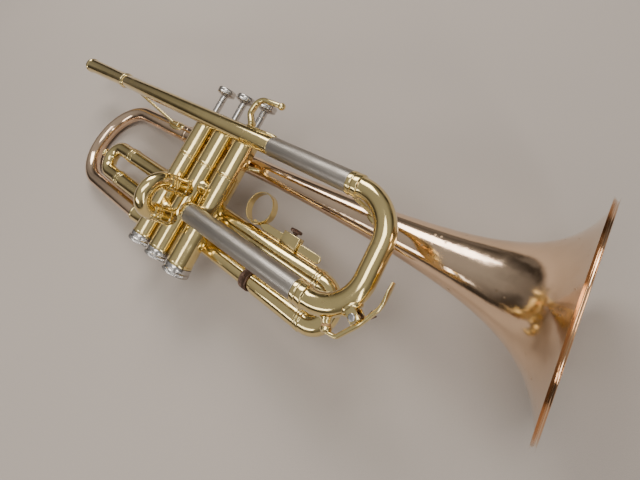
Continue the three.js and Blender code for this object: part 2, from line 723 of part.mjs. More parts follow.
const ferrule = tube(
  bowRoute,
  [
    [ferruleFrom - 5, BELL_TAIL_R + 1.1],
    [ferruleFrom - 3, BELL_TAIL_R + 1.1],
    [ferruleFrom, BELL_TAIL_R + 0.8],
    [bowRoute.length, BELL_TAIL_R + 0.4],
  ],
  [
    [ferruleFrom - 5, BELL_TAIL_R + GAP],
    [ferruleFrom + GAP, BELL_TAIL_R + GAP],
    [ferruleFrom + GAP + 0.01, BELL_TAIL_R - BELL_WALL],
    [bowRoute.length, BELL_TAIL_R - BELL_WALL],
  ],
);
add("bell_ferrule", cut(ferrule, casingTools[0]));

// ---- Braces and hook ----
const BELL_SCALE = bellAxis.length / (BELL_RIM_X - BELL_REAR_X);
const bellMark = (x) => (x - BELL_REAR_X) * BELL_SCALE; // how far along its axis a place x is
// What is cut from the pieces that meet the bell: its outside, and a gap.
const bellTool = rod(
  bellAxis,
  [[0, BELL_STEM_R + GAP], [bellSplit, BELL_STEM_R + GAP], ...horn(-GAP).slice(0, -2)],
  BELL_SIDES,
);

// What is cut from the pieces that meet the leadpipe near a place along x.
function leadTool(x, radius) {
  const reach = 30;
  const stations = [-reach, reach].map((d) => [along(x) + d, radius + GAP]);
  return rod(lead, stations, ROUND_SIDES);
}

// A brace from the side of one tube to the side of the bell, with an oval foot on each.
function bellBrace(leadX, leadR, bellX, thick, lean) {
  const bellS = bellMark(bellX);
  const bellR = bellRadius(bellAxis.length - bellS);
  const [bellPoint] = bellAxis.locate(bellS);
  const leadPoint = vec(leadX, LEAD_Y, LEAD_Z);
  const across = vec(0, bellPoint.y - LEAD_Y, (bellPoint.z - LEAD_Z) * lean).normalize();
  const a = leadPoint.clone().addScaledVector(across, leadR + GAP + thick);
  const b = bellPoint.clone().addScaledVector(across, -bellR - GAP - thick);
  const run = Math.sign(bellX - leadX) * 9;
  const bar = new Route([a.clone().add(vec(-run, 0, 0)), a, b, b.clone().add(vec(run, 0, 0))], 8);
  const strut = rod(bar, [[0, thick], [bar.length, thick]], 8);
  const leadFoot = saddle(lead, leadR, along(leadX) - run / 2, across, 14, 6);
  const bellFoot = saddle(bellAxis, bellR, bellS + run / 2, across.clone().negate(), 18, 9);
  return cut(join(strut, leadFoot, bellFoot), bellTool, leadTool(leadX, leadR));
}
const REAR_BRACE_X = LEAD_START_X + RECEIVER_LENGTH + 12;
add("rear_brace", bellBrace(REAR_BRACE_X, LEAD_R_REAR + 0.1, REAR_BRACE_X + 46, 1.5, 1));
add("front_brace", bellBrace(118, OUTER_SLIDE_R, 142, 1.7, 0.6));

// A strut from the front of the third valve's casing up to the bell.
const STRUT_X = VALVE_PITCH + 17;
const strutStart = vec(VALVE_PITCH, 0, CASING_SEAM_Z + 10);
const [strutEnd, bellWay] = bellAxis.locate(bellMark(STRUT_X));
const strutRoute = line(strutStart, strutEnd);
const strutWay = strutEnd.clone().sub(strutStart).normalize();
const strutBellR = bellRadius(BELL_RIM_X - STRUT_X);
const footOffset = strutBellR / Math.tan(strutWay.angleTo(bellWay));
const footAt = bellMark(STRUT_X) - footOffset;
const strutBar = join(
  rod(strutRoute, [[0, 1.8], [strutRoute.length, 1.8]], 8),
  saddle(bellAxis, strutBellR, footAt, strutWay.clone().negate(), 14, 8),
);
add("valve_brace", cut(strutBar, casingTools[2], bellTool));

const hookFoot = saddle(lead, LEAD_R_FRONT, along(HOOK_X), vec(0, 0, 1), 28, 8, 1.2);
const hookTop = LEAD_Z + 28.5;
const hookRoute = new Route(
  [
    vec(HOOK_X - 10, LEAD_Y, LEAD_Z + LEAD_R_FRONT + 0.8),
    vec(HOOK_X - 18.5, LEAD_Y, LEAD_Z + 16),
    vec(HOOK_X - 16.5, LEAD_Y, hookTop),
    vec(HOOK_X + 6, LEAD_Y, hookTop),
  ],
  [6, 7],
);
const hookEnd = hookRoute.locate(hookRoute.length)[0];
const hook = join(
  rod(hookRoute, [[0, 2.4], [hookRoute.length, 2.2]], 8),
  hookFoot,
  ball(hookEnd, 2.8),
);
add("pinky_hook", cut(hook, leadTool(HOOK_X, LEAD_R_FRONT)));

// ---- Finger ring on the third slide ----
const thirdTop = THIRD_Z[0] + OUTER_SLIDE_R;
const PLATE_THICK = 1.6;
const PLATE_BOTTOM = thirdTop + 0.4;
const PLATE_TOP = RING_Z - RING_R + RING_STRAP + 4;
const strapPath = new THREE.Shape();
strapPath.absarc(RING_X, RING_Z, RING_R, 0, 2 * Math.PI);
const strapHole = new THREE.Path();
strapHole.absarc(RING_X, RING_Z, RING_R - RING_STRAP, 0, 2 * Math.PI, true);
strapPath.holes.push(strapHole);
const hoop = new THREE.ExtrudeGeometry(strapPath, {
  depth: RING_WIDTH,
  bevelEnabled: false,
  curveSegments: 10,
});
hoop.rotateX(Math.PI / 2).translate(0, THIRD_Y + RING_WIDTH / 2, 0);
const insideHoop = rod(
  line(vec(RING_X, THIRD_Y - RING_WIDTH, RING_Z), vec(RING_X, THIRD_Y + RING_WIDTH, RING_Z)),
  [[0, RING_R - RING_STRAP / 2], [2 * RING_WIDTH, RING_R - RING_STRAP / 2]],
  40,
);
const plateHeight = PLATE_TOP - PLATE_BOTTOM;
const plate = box(
  vec((RING_X + RING_BAR_END_X) / 2, THIRD_Y, PLATE_BOTTOM + plateHeight / 2),
  RING_BAR_END_X - RING_X,
  PLATE_THICK,
  plateHeight,
);
add("finger_ring", join(solidOf(hoop), cut(plate, insideHoop)));
const HOLDER_WALL = 1.9;
const HOLDER_ROOF = 2.6;
const holderWidth = PLATE_THICK + 2 * (GAP + HOLDER_WALL);
const holderTop = PLATE_TOP + GAP + HOLDER_ROOF;
const holderBottom = thirdTop - 1.2;
const rail = box(
  vec(RING_HOLDER_X, THIRD_Y, (holderTop + holderBottom) / 2),
  RING_HOLDER_LENGTH,
  holderWidth,
  holderTop - holderBottom,
);
const slotTop = PLATE_TOP + GAP;
const slot = box(
  vec(RING_HOLDER_X, THIRD_Y, (slotTop + holderBottom) / 2 - 1),
  RING_HOLDER_LENGTH + 2,
  PLATE_THICK + 2 * GAP,
  slotTop - holderBottom + 2,
);
const screwHole = rod(
  line(vec(RING_HOLDER_X, THIRD_Y, PLATE_TOP), vec(RING_HOLDER_X, THIRD_Y, holderTop + 1)),
  [[0, 1.5], [holderTop + 1 - PLATE_TOP, 1.5]],
  10,
);
const thirdTool = rod(
  line(vec(0, THIRD_Y, THIRD_Z[0]), vec(200, THIRD_Y, THIRD_Z[0])),
  [[0, OUTER_SLIDE_R + GAP], [200, OUTER_SLIDE_R + GAP]],
);
add("ring_holder", cut(rail, slot, screwHole, thirdTool));
const screwBottom = PLATE_TOP + GAP;
const screwNeck = HOLDER_ROOF + 0.6;
const screw = rod(
  line(vec(RING_HOLDER_X, THIRD_Y, screwBottom), vec(RING_HOLDER_X, THIRD_Y, screwBottom + 9)),
  [
    [0, 1.2],
    [screwNeck, 1.2],
    [screwNeck + 0.1, 2],
    [screwNeck + 1, 2],
    [screwNeck + 1.1, 4.2],
    [screwNeck + 3, 4.2],
    [screwNeck + 3.4, 3.6],
  ],
);
add("ring_screw", screw, DARK, 0.45);

// ---- Water key on the tuning crook ----
const crookCentre = vec(tuningStart + FERRULE_LENGTH, LEAD_Y, LOWER_Z + TUNING_BEND_R);
const CROOK_R = INNER_R + 0.35;
const crookRim = TUNING_BEND_R + CROOK_R;
const polar = (degrees, radius) => {
  const a = THREE.MathUtils.degToRad(degrees);
  return crookCentre.clone().add(vec(radius * Math.cos(a), 0, radius * Math.sin(a)));
};
const DRAIN_ANGLE = -62;
const HINGE_ANGLE = -33;
const TIP_ANGLE = 8;
const nippleRoute = line(polar(DRAIN_ANGLE, crookRim - 3.5), polar(DRAIN_ANGLE, crookRim + 2.6));
const nipple = rod(nippleRoute, [[0, 3], [nippleRoute.length, 2.6]], 10);
const hingeRadius = crookRim + 3.6;
const hinge = polar(HINGE_ANGLE, hingeRadius);
const SADDLE_HALF = 5.2;
const POST = 1.4;
const post = (side) => {
  const from = polar(HINGE_ANGLE, crookRim - 2.5);
  const to = polar(HINGE_ANGLE, hingeRadius + 2.4);
  const shift = vec(0, side * (SADDLE_HALF - POST / 2), 0);
  const length = from.distanceTo(to);
  const plate = new THREE.BoxGeometry(length, POST, 6);
  plate.rotateY(-THREE.MathUtils.degToRad(HINGE_ANGLE));
  const middlePoint = from.add(to).multiplyScalar(0.5).add(shift);
  return solidOf(plate.translate(middlePoint.x, middlePoint.y, middlePoint.z));
};
const pinRoute = line(hinge.clone().add(vec(0, -7.2, 0)), hinge.clone().add(vec(0, 6.4, 0)));
const pinHole = rod(pinRoute, [[0, 0.9 + GAP], [pinRoute.length, 0.9 + GAP]], 10);
const drain = rod(nippleRoute, [[1, 1.2], [nippleRoute.length + 1, 1.2]], 8);
const crookInside = rod(tuningRoute, [[0, crookBore], [tuningRoute.length, crookBore]]);
const posts = cut(join(post(1), post(-1)), pinHole, crookInside);
const keyedCrook = cut(join(tuningCrook, cut(nipple, crookInside), posts), drain);
add("tuning_crook", keyedCrook);
const pin = rod(pinRoute, [[0, 2], [1.4, 2], [1.5, 0.9], [pinRoute.length, 0.9]], 10);
add("water_key_pin", pin, STEEL, 0.3);

const barrelHalf = SADDLE_HALF - POST - 0.4;
const barrelShift = vec(0, barrelHalf, 0);
const barrelRoute = line(hinge.clone().sub(barrelShift), hinge.clone().add(barrelShift));
const barrel = pipe(barrelRoute, 2.1, 0.9 + GAP, 0, barrelRoute.length, 10);
const corkSeat = crookRim + 2.6 + GAP;
const leverRoute = new Route(
  [
    polar(DRAIN_ANGLE, corkSeat + 3.4),
    polar(DRAIN_ANGLE + 8, corkSeat + 6),
    polar(HINGE_ANGLE, hingeRadius + 3.2),
    polar(TIP_ANGLE, hingeRadius + 4.2),
  ],
  [3, 12],
);
const leverEnd = leverRoute.length;
const lever = rod(leverRoute, [[0, 1.5], [leverEnd * 0.8, 1.5], [leverEnd, 2.4]], 8);
const corkRoute = line(polar(DRAIN_ANGLE, corkSeat), polar(DRAIN_ANGLE, corkSeat + 4));
const corkCup = rod(corkRoute, [[0, 2.6], [1.4, 2.6], [1.5, 3.2], [4, 3.2]], 10);
add("water_key_lever", cut(join(lever, barrel, corkCup), pinHole));

// ---- Lay the trumpet down on its left side, on the three points that it settles on ----
instrument.updateMatrixWorld(true);
const cloud = [];
const centroid = vec(0, 0, 0);
let volume = 0;
instrument.traverse((mesh) => {
  if (!mesh.isMesh) return;
  const position = mesh.geometry.attributes.position;
  const index = mesh.geometry.index.array;
  const corners = Array.from({ length: position.count }, (_, i) =>
    vec(position.getX(i), position.getY(i), position.getZ(i)),
  );
  cloud.push(...corners);
  for (let i = 0; i < index.length; i += 3) {
    const [a, b, c] = [corners[index[i]], corners[index[i + 1]], corners[index[i + 2]]];
    const part = a.dot(b.clone().cross(c)) / 6;
    centroid.addScaledVector(a.clone().add(b).add(c), part / 4);
    volume += part;
  }
});
centroid.divideScalar(volume);
const hull = new ConvexHull().setFromPoints(cloud);
// The hull face that a ray from the centre of mass leaves through.
function faceBelow(direction) {
  let best = null;
  let nearest = Infinity;
  for (const face of hull.faces) {
    const slope = face.normal.dot(direction);
    if (slope <= 1e-6) continue;
    const distance = (face.constant - face.normal.dot(centroid)) / slope;
    if (distance < nearest) [nearest, best] = [distance, face];
  }
  return best;
}
let down = vec(0, 1, 0);
for (let k = 0; k < 12; k++) down = faceBelow(down).normal.clone();
const upward = down.clone().negate();
const forward = FORWARD.clone().addScaledVector(upward, -FORWARD.dot(upward)).normalize();
const leftward = upward.clone().cross(forward);
const settle = new THREE.Matrix4().makeBasis(forward, leftward, upward).invert();
instrument.quaternion.setFromRotationMatrix(settle);

const trumpet = new THREE.Group();
trumpet.add(instrument);
trumpet.updateMatrixWorld(true);
const bounds = new THREE.Box3().setFromObject(trumpet, true);
const centre = bounds.getCenter(vec(0, 0, 0));
instrument.position.set(-centre.x, -centre.y, -bounds.min.z);

export default trumpet;
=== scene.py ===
"""Looks of a B-flat trumpet that lies on its left side: polished brass, satin nickel and pearl.

Every piece is drawn in the playing frame, in millimetres: x towards the bell, y to the player's left
and z up, with its origin on the second valve's axis under the bottom caps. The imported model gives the
place of that frame, so the pieces land on the CAD nodes that they stand for.
"""

import json
import logging
import math
from collections.abc import Callable, Sequence
from dataclasses import dataclass, field
from enum import Enum

import bmesh
import bpy
import numpy as np
from mathutils import Matrix, Vector

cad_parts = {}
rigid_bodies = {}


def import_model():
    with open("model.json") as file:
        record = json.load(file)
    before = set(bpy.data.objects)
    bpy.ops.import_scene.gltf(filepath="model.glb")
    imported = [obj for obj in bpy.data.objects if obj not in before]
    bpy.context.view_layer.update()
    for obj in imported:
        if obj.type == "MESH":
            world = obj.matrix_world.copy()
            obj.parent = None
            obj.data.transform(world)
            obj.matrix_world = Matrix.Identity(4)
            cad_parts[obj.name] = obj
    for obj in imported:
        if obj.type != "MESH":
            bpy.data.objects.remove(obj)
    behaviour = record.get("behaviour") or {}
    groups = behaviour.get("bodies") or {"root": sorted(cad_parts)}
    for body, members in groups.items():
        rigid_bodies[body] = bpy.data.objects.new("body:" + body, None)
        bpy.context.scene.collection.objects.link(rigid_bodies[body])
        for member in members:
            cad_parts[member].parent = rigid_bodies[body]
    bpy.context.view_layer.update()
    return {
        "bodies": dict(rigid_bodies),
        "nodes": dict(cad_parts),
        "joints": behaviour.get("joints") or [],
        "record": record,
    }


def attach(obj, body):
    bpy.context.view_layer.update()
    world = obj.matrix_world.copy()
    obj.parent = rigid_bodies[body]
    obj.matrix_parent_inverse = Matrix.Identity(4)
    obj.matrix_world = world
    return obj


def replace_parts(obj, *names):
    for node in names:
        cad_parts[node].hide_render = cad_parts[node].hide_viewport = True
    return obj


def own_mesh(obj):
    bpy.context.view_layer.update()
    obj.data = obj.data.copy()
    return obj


LOG = logging.getLogger("trumpet")
MM = 0.001

Outline = Sequence[tuple[float, float]]  # distances along a path, with radii
Triple = tuple[float, float, float]

# ---- Driving dimensions, in millimetres, in the playing frame ----
PITCH = 25.0
CASING_R = 9.7
SEAT_R = CASING_R - 0.35  # where tubes end inside the casing's wall
CASING_BORE = 8.65
CASING_H = 118.0
CAP_H = 7.0
CAP_R = 10.5
CAP_BODY_R = 10.25
CAP_BORE = 9.5
CAP_FLOOR = 2.0
THREAD_R = 9.2
SEAM_Z = 78.0
PISTON_FROM = 25.0
PISTON_TO = 83.0
PISTON_R = 8.35
PISTON_FLOOR = 2.0  # the thickness of its ends
STEM_R = 3.0
BUTTON_Z = 135.1
BUTTON_R = 8.2
BUTTON_H = 6.4
PEARL_R = 6.6
SPRING_R = 6.2
SPRING_WIRE_R = 0.45

LEAD_Y = -17.4
LEAD_Z = 111.0
LEAD_START = -222.0
RECEIVER_L = 82.0
SOCKET_R = 4.9
LEAD_REAR_R = 6.5
LEAD_FRONT_R = 6.7
OUTER_R = 6.9
OUTER_BORE = 6.3
INNER_R = 6.0
INNER_BORE = 5.4
FIT_GAP = 0.3  # between a slide and the tube that it closes on
KNUCKLE_R = 7.2  # bend of the tubes that leave valve 3
UPPER_OUTER_X = 64.0
LOWER_OUTER_X = 27.0
TUNING_X = 130.3
FERRULE_L = 8.0
FERRULE_R = 7.4
LOWER_Z = 44.0
CROOK_R = 6.35
TUNING_BEND = 25.0

BELL_RIM = (250.0, 21.5, 101.0)
BELL_REAR = (-132.0, 17.8, 91.0)
BELL_RIM_R = 61.5
BELL_FLARE_L = 12.9
BELL_FLARE_POWER = 0.75
BELL_STEM_R = 7.7
BELL_WALL = 0.7
BELL_SPLIT_X = -62.0
TAIL_Y = 6.0
TAIL_Z = 14.0
TAIL_R = 6.3

FIRST_Z = (52.2, 29.3)
FIRST_END_X = -88.0
FIRST_CROOK_X = -111.0
SECOND_Z = (55.0, 31.3)
SECOND_END_Y = -22.0
SECOND_CROOK_Y = -28.5
SLEEVE_R = 6.6
SLEEVE_BORE = 6.0
LEG_R = 5.7
LEG_BORE = 5.1
THIRD_Y = 13.0
THIRD_Z = (50.5, 25.5)
THIRD_OUTER_X = (33.0, 84.0)
THIRD_END_X = 123.0

RING_X = 57.6
RING_Z = 70.2
RING_R = 12.0
STRAP_W = 6.5
STRAP_T = 1.1
BAR_END_X = 119.0
PLATE_T = 1.6
PLATE_Z = (57.8, 63.3)
HOLDER_X = 93.0
HOLDER_L = 14.0
HOOK_X = 48.0
HOOK_BALL_R = 2.8
HINGE_ANGLE = -33.0
DRAIN_ANGLE = -62.0
TIP_ANGLE = 8.0

WIDE = 64  # sides of a broad tube
FINE = 56  # sides of a tube
MEDIUM = 40  # sides of a narrow tube
SMALL = 28  # sides of a small round piece
COIL_STEPS = 24  # points in one turn of a spring
BEND_STEP = math.radians(4.5)
SHARP_ANGLE = math.radians(38)


def vec(x: float, y: float, z: float) -> Vector:
    """A vector in the playing frame."""
    return Vector((x, y, z))


FORWARD, BACKWARD = vec(1, 0, 0), vec(-1, 0, 0)
LEFT, RIGHT = vec(0, 1, 0), vec(0, -1, 0)
UP = vec(0, 0, 1)


class Slot(Enum):
    """The record's material slots."""

    BRASS = "lacquered_brass"
    ROSE = "rose_brass"
    NICKEL = "satin_nickel"
    STEEL = "polished_steel"
    DARK = "dark_knurled_metal"
    PEARL = "pearl_inlay"


class Body(Enum):
    """The CAD bodies that pieces ride on."""

    MAIN = "trumpet_body"
    TUNING = "tuning_slide"
    KEY = "water_key"
    FIRST = "first_slide"
    SECOND = "second_slide"
    THIRD = "third_slide"
    RING = "finger_ring"
    SCREW = "ring_screw"
    VALVE_1 = "valve_1"
    VALVE_2 = "valve_2"
    VALVE_3 = "valve_3"


VALVES = (Body.VALVE_1, Body.VALVE_2, Body.VALVE_3)


# ---- Shader graphs ----
@dataclass(frozen=True)
class Sock:
    """An output socket with arithmetic, each step of which adds one Math node."""

    graph: "Graph"
    socket: bpy.types.NodeSocket

    def _math(self, operation: str, *others: "Sock | float") -> "Sock":
        """Adds a Math node."""
        values = {i: v for i, v in enumerate((self, *others))}
        return self.graph.node("ShaderNodeMath", {"operation": operation}, values)

    def __add__(self, other: "Sock | float") -> "Sock":
        """The sum."""
        return self._math("ADD", other)

    def __mul__(self, other: "Sock | float") -> "Sock":
        """The product."""
        return self._math("MULTIPLY", other)

    def __sub__(self, other: "Sock | float") -> "Sock":
        """The difference."""
        return self._math("SUBTRACT", other)

    def __rsub__(self, other: float) -> "Sock":
        """A number less this."""
        return (self * -1.0) + other

    __radd__ = __add__
    __rmul__ = __mul__

    def above(self, low: float, high: float) -> "Sock":
        """0 below low, 1 over high, and a smooth step between them."""
        settings = {"interpolation_type": "SMOOTHSTEP"}
        inputs = {"Value": self, "From Min": low, "From Max": high}
        return self.graph.node("ShaderNodeMapRange", settings, inputs)


class Graph:
    """Builds one node tree."""

    def __init__(self, tree: bpy.types.NodeTree) -> None:
        """Clears the tree."""
        self.tree = tree
        tree.nodes.clear()

    def node(
        self, kind: str, settings: dict | None = None, inputs: dict | None = None, out: int | str = 0
    ) -> Sock:
        """Adds a node.

        Args:
            kind: the node's type.
            settings: its properties by name.
            inputs: values or sockets by input name or number.
            out: the output that is returned, by name or number.

        Returns:
            The chosen output.
        """
        made = self.tree.nodes.new(kind)
        for name, value in (settings or {}).items():
            setattr(made, name, value)
        for key, value in (inputs or {}).items():
            if isinstance(value, Sock):
                self.tree.links.new(value.socket, made.inputs[key])
            else:
                made.inputs[key].default_value = value
        return Sock(self, made.outputs[out] if made.outputs else None)

    def scaled(self, vector: Sock, scale: Triple) -> Sock:
        """A vector stretched by a factor along each axis."""
        return self.node("ShaderNodeVectorMath", {"operation": "MULTIPLY"}, {0: vector, 1: scale})

    def streaks(self, vector: Sock, x: float, y: float, detail: float, rough: float = 0.5) -> Sock:
        """Noise as fine as given along each of the map's two directions."""
        return self.noise(self.scaled(vector, (x, y, 1.0)), 1.0, detail, rough)

    def noise(self, vector: Sock, scale: float, detail: float = 3.0, rough: float = 0.5) -> Sock:
        """Fractal noise from about 0 to 1."""
        inputs = {"Vector": vector, "Scale": scale, "Detail": detail, "Roughness": rough}
        return self.node("ShaderNodeTexNoise", {}, inputs)

    def specks(self, vector: Sock, scale: float, size: float) -> Sock:
        """1 on small scattered dots and 0 between them."""
        distance = self.node("ShaderNodeTexVoronoi", {}, {"Vector": vector, "Scale": scale})
        return 1.0 - distance.above(size * 0.4, size)

    def blend(self, factor: Sock, first: Sock | tuple, second: Sock | tuple) -> Sock:
        """A colour between two colours."""
        settings = {"data_type": "RGBA"}
        return self.node("ShaderNodeMix", settings, {0: factor, 6: first, 7: second}, out=2)

    def bump(self, height: Sock, strength: float, distance: float, below: Sock | None = None) -> Sock:
        """A normal tilted by a height, on top of the bump below it."""
        inputs = {"Height": height, "Strength": strength, "Distance": distance}
        if below is not None:
            inputs["Normal"] = below
        return self.node("ShaderNodeBump", {}, inputs)


def rgba(color: Triple, share: float = 1.0) -> tuple[float, float, float, float]:
    """A colour scaled by a share, with full alpha."""
    return (color[0] * share, color[1] * share, color[2] * share, 1.0)


@dataclass(frozen=True)
class Finish:
    """What all finishes share: a name, a slot and a base colour."""

    name: str
    slot: Slot
    color: Triple

    def material(self) -> bpy.types.Material:
        """The finish's material, made on first use."""
        found = bpy.data.materials.get(self.name)
        if found:
            return found
        made = bpy.data.materials.new(self.name)
        made.use_nodes = True
        made.diffuse_color = rgba(self.color)
        graph = Graph(made.node_tree)
        coordinates = graph.node("ShaderNodeTexCoord", out="Object")
        around = graph.node("ShaderNodeTexCoord", out="UV")
        shader = graph.node("ShaderNodeBsdfPrincipled", {}, self.surface(graph, coordinates, around))
        graph.node("ShaderNodeOutputMaterial", {}, {"Surface": shader})
        return made

    def surface(self, graph: Graph, where: Sock, around: Sock) -> dict:
        """The shader's inputs, which each finish gives."""
        raise NotImplementedError


@dataclass(frozen=True)
class Polished(Finish):
    """Buffed metal, lacquered or plated: smudges, hairline scratches and a few specks of tarnish."""

    rough: float = 0.12
    coat: float = 0.6
    tarnish: Triple = (0.34, 0.19, 0.07)
    aged: float = 0.5

    def surface(self, graph: Graph, where: Sock, around: Sock) -> dict:
        """The shader's inputs for this finish."""
        tone = graph.noise(where, 22.0, 4.0).above(0.3, 0.72)
        smudge = graph.noise(where, 75.0, 5.0, 0.6).above(0.46, 0.74)
        hairs = graph.streaks(around, 160.0, 5200.0, 4.0, 0.7)
        rings = graph.streaks(around, 3800.0, 220.0, 3.0, 0.6)
        speck = graph.specks(where, 190.0, 0.2) * graph.noise(where, 40.0, 2.0).above(0.5, 0.66)
        pale = graph.blend(tone, rgba(self.color, 0.9), rgba(self.color, 1.05))
        worn = graph.blend(smudge * (0.3 * self.aged), pale, rgba(self.color, 0.72))
        base = graph.blend(speck * self.aged, worn, rgba(self.tarnish))
        rough = self.rough + smudge * 0.13 + hairs.above(0.55, 0.8) * 0.07 + speck * 0.25
        wave = graph.bump(graph.noise(where, 110.0, 2.0), 0.18, 0.0006)
        lines = graph.bump(hairs + rings * 0.6, 0.05, 0.00012, wave)
        pits = graph.bump(speck, 0.15, 0.0001, lines)
        return {
            "Base Color": base,
            "Metallic": 1.0,
            "Roughness": rough,
            "Coat Weight": self.coat - smudge * (self.coat * 0.5),
            "Coat Roughness": 0.06,
            "Coat IOR": 1.5,
            "Normal": pits,
        }


@dataclass(frozen=True)
class Brushed(Finish):
    """Satin metal, brushed along its length, with worn and dulled patches."""

    rough: float = 0.3
    along: float = 70.0
    across: float = 4200.0

    def surface(self, graph: Graph, where: Sock, around: Sock) -> dict:
        """The shader's inputs for this finish."""
        grain = graph.streaks(around, self.along, self.across, 5.0, 0.65)
        broad = graph.streaks(around, self.along / 3, self.across / 9, 3.0)
        dull = graph.noise(where, 48.0, 5.0, 0.6).above(0.45, 0.75)
        stain = graph.specks(where, 150.0, 0.24) * graph.noise(where, 30.0).above(0.48, 0.7)
        shade = graph.blend(grain.above(0.3, 0.7), rgba(self.color, 0.82), rgba(self.color, 1.06))
        dulled = graph.blend(dull * 0.35, shade, rgba(self.color, 0.66))
        base = graph.blend(stain * 0.45, dulled, rgba((0.2, 0.15, 0.1)))
        rough = self.rough + dull * 0.12 + grain.above(0.35, 0.75) * 0.12 + stain * 0.2
        wave = graph.bump(broad, 0.2, 0.0004)
        return {
            "Base Color": base,
            "Metallic": 1.0,
            "Roughness": rough,
            "Normal": graph.bump(grain, 0.22, 0.0002, wave),
        }


@dataclass(frozen=True)
class Pearl(Finish):
    """Mother of pearl: soft layered bands of pink, green and cream under a polish."""

    def surface(self, graph: Graph, where: Sock, around: Sock) -> dict:
        """The shader's inputs for this finish."""
        warp = graph.noise(where, 160.0, 3.0)
        bent = graph.node("ShaderNodeVectorMath", {"operation": "SCALE"}, {0: where, 3: warp * 2.0})
        bands = graph.noise(graph.scaled(bent, (1.0, 3.0, 1.0)), 300.0, 4.0, 0.6)
        green = graph.blend(bands.above(0.38, 0.62), rgba(self.color), rgba((0.72, 0.84, 0.78)))
        rosy = graph.blend(warp.above(0.45, 0.65) * 0.6, green, rgba((0.92, 0.76, 0.78)))
        rough = 0.16 + bands * 0.12
        normal = graph.bump(bands, 0.1, 0.0002)
        return {
            "Base Color": rosy,
            "Roughness": rough,
            "Coat Weight": 0.8,
            "Coat Roughness": 0.05,
            "Normal": normal,
        }


@dataclass(frozen=True)
class Grainy(Finish):
    """Cork: a mottled, matt and rough surface."""

    scale: float = 900.0
    depth: float = 0.0006
    second: Triple = (0.2, 0.1, 0.05)

    def surface(self, graph: Graph, where: Sock, around: Sock) -> dict:
        """The shader's inputs for this finish."""
        fine = graph.noise(where, self.scale, 6.0, 0.7)
        spots = graph.specks(where, self.scale * 0.6, 0.35)
        mottled = graph.blend(fine.above(0.35, 0.65), rgba(self.color, 0.75), rgba(self.color, 1.1))
        base = graph.blend(spots * 0.7, mottled, rgba(self.second))
        return {
            "Base Color": base,
            "Roughness": 0.85 + fine * 0.1,
            "Normal": graph.bump(fine - spots * 0.3, 0.6, self.depth),
        }


@dataclass(frozen=True)
class Cloth(Finish):
    """The plain pale cloth that the trumpet lies on."""

    def surface(self, graph: Graph, where: Sock, around: Sock) -> dict:
        """The shader's inputs for this finish."""
        weave = graph.noise(graph.scaled(where, (1.0, 3.2, 1.0)), 900.0, 3.0, 0.6)
        cross = graph.noise(graph.scaled(where, (3.2, 1.0, 1.0)), 900.0, 3.0, 0.6)
        fold = graph.noise(where, 2.2, 2.0)
        base = graph.blend(fold.above(0.3, 0.7), rgba(self.color, 0.97), rgba(self.color, 1.03))
        threads = graph.blend((weave + cross).above(0.8, 1.2) * 0.18, base, rgba(self.color, 0.8))
        soft = graph.bump(fold, 0.3, 0.01)
        normal = graph.bump(weave + cross, 0.25, 0.0004, soft)
        return {"Base Color": threads, "Roughness": 0.86 + weave * 0.1, "Normal": normal}


BRASS = Polished("Yellow brass", Slot.BRASS, (0.8, 0.63, 0.28), 0.1)
ROSE = Polished("Rose brass", Slot.ROSE, (0.79, 0.57, 0.39), 0.09)
BRIGHT = Polished("Bright nickel", Slot.NICKEL, (0.6, 0.57, 0.54), 0.15, 0.0, (0.16, 0.12, 0.08))
NICKEL = Brushed("Satin nickel", Slot.NICKEL, (0.34, 0.31, 0.275), 0.34, 30.0)
STEEL = Brushed("Ground steel", Slot.STEEL, (0.52, 0.5, 0.48), 0.22, 900.0, 300.0)
DARK = Brushed("Dark knurled metal", Slot.DARK, (0.16, 0.1, 0.075), 0.36, 900.0, 900.0)
PEARL = Pearl("Pearl", Slot.PEARL, (0.9, 0.88, 0.83))
CORK = Grainy("Cork", Slot.DARK, (0.5, 0.3, 0.15))
CLOTH = Cloth("Pale cloth", Slot.PEARL, (0.48, 0.42, 0.37))


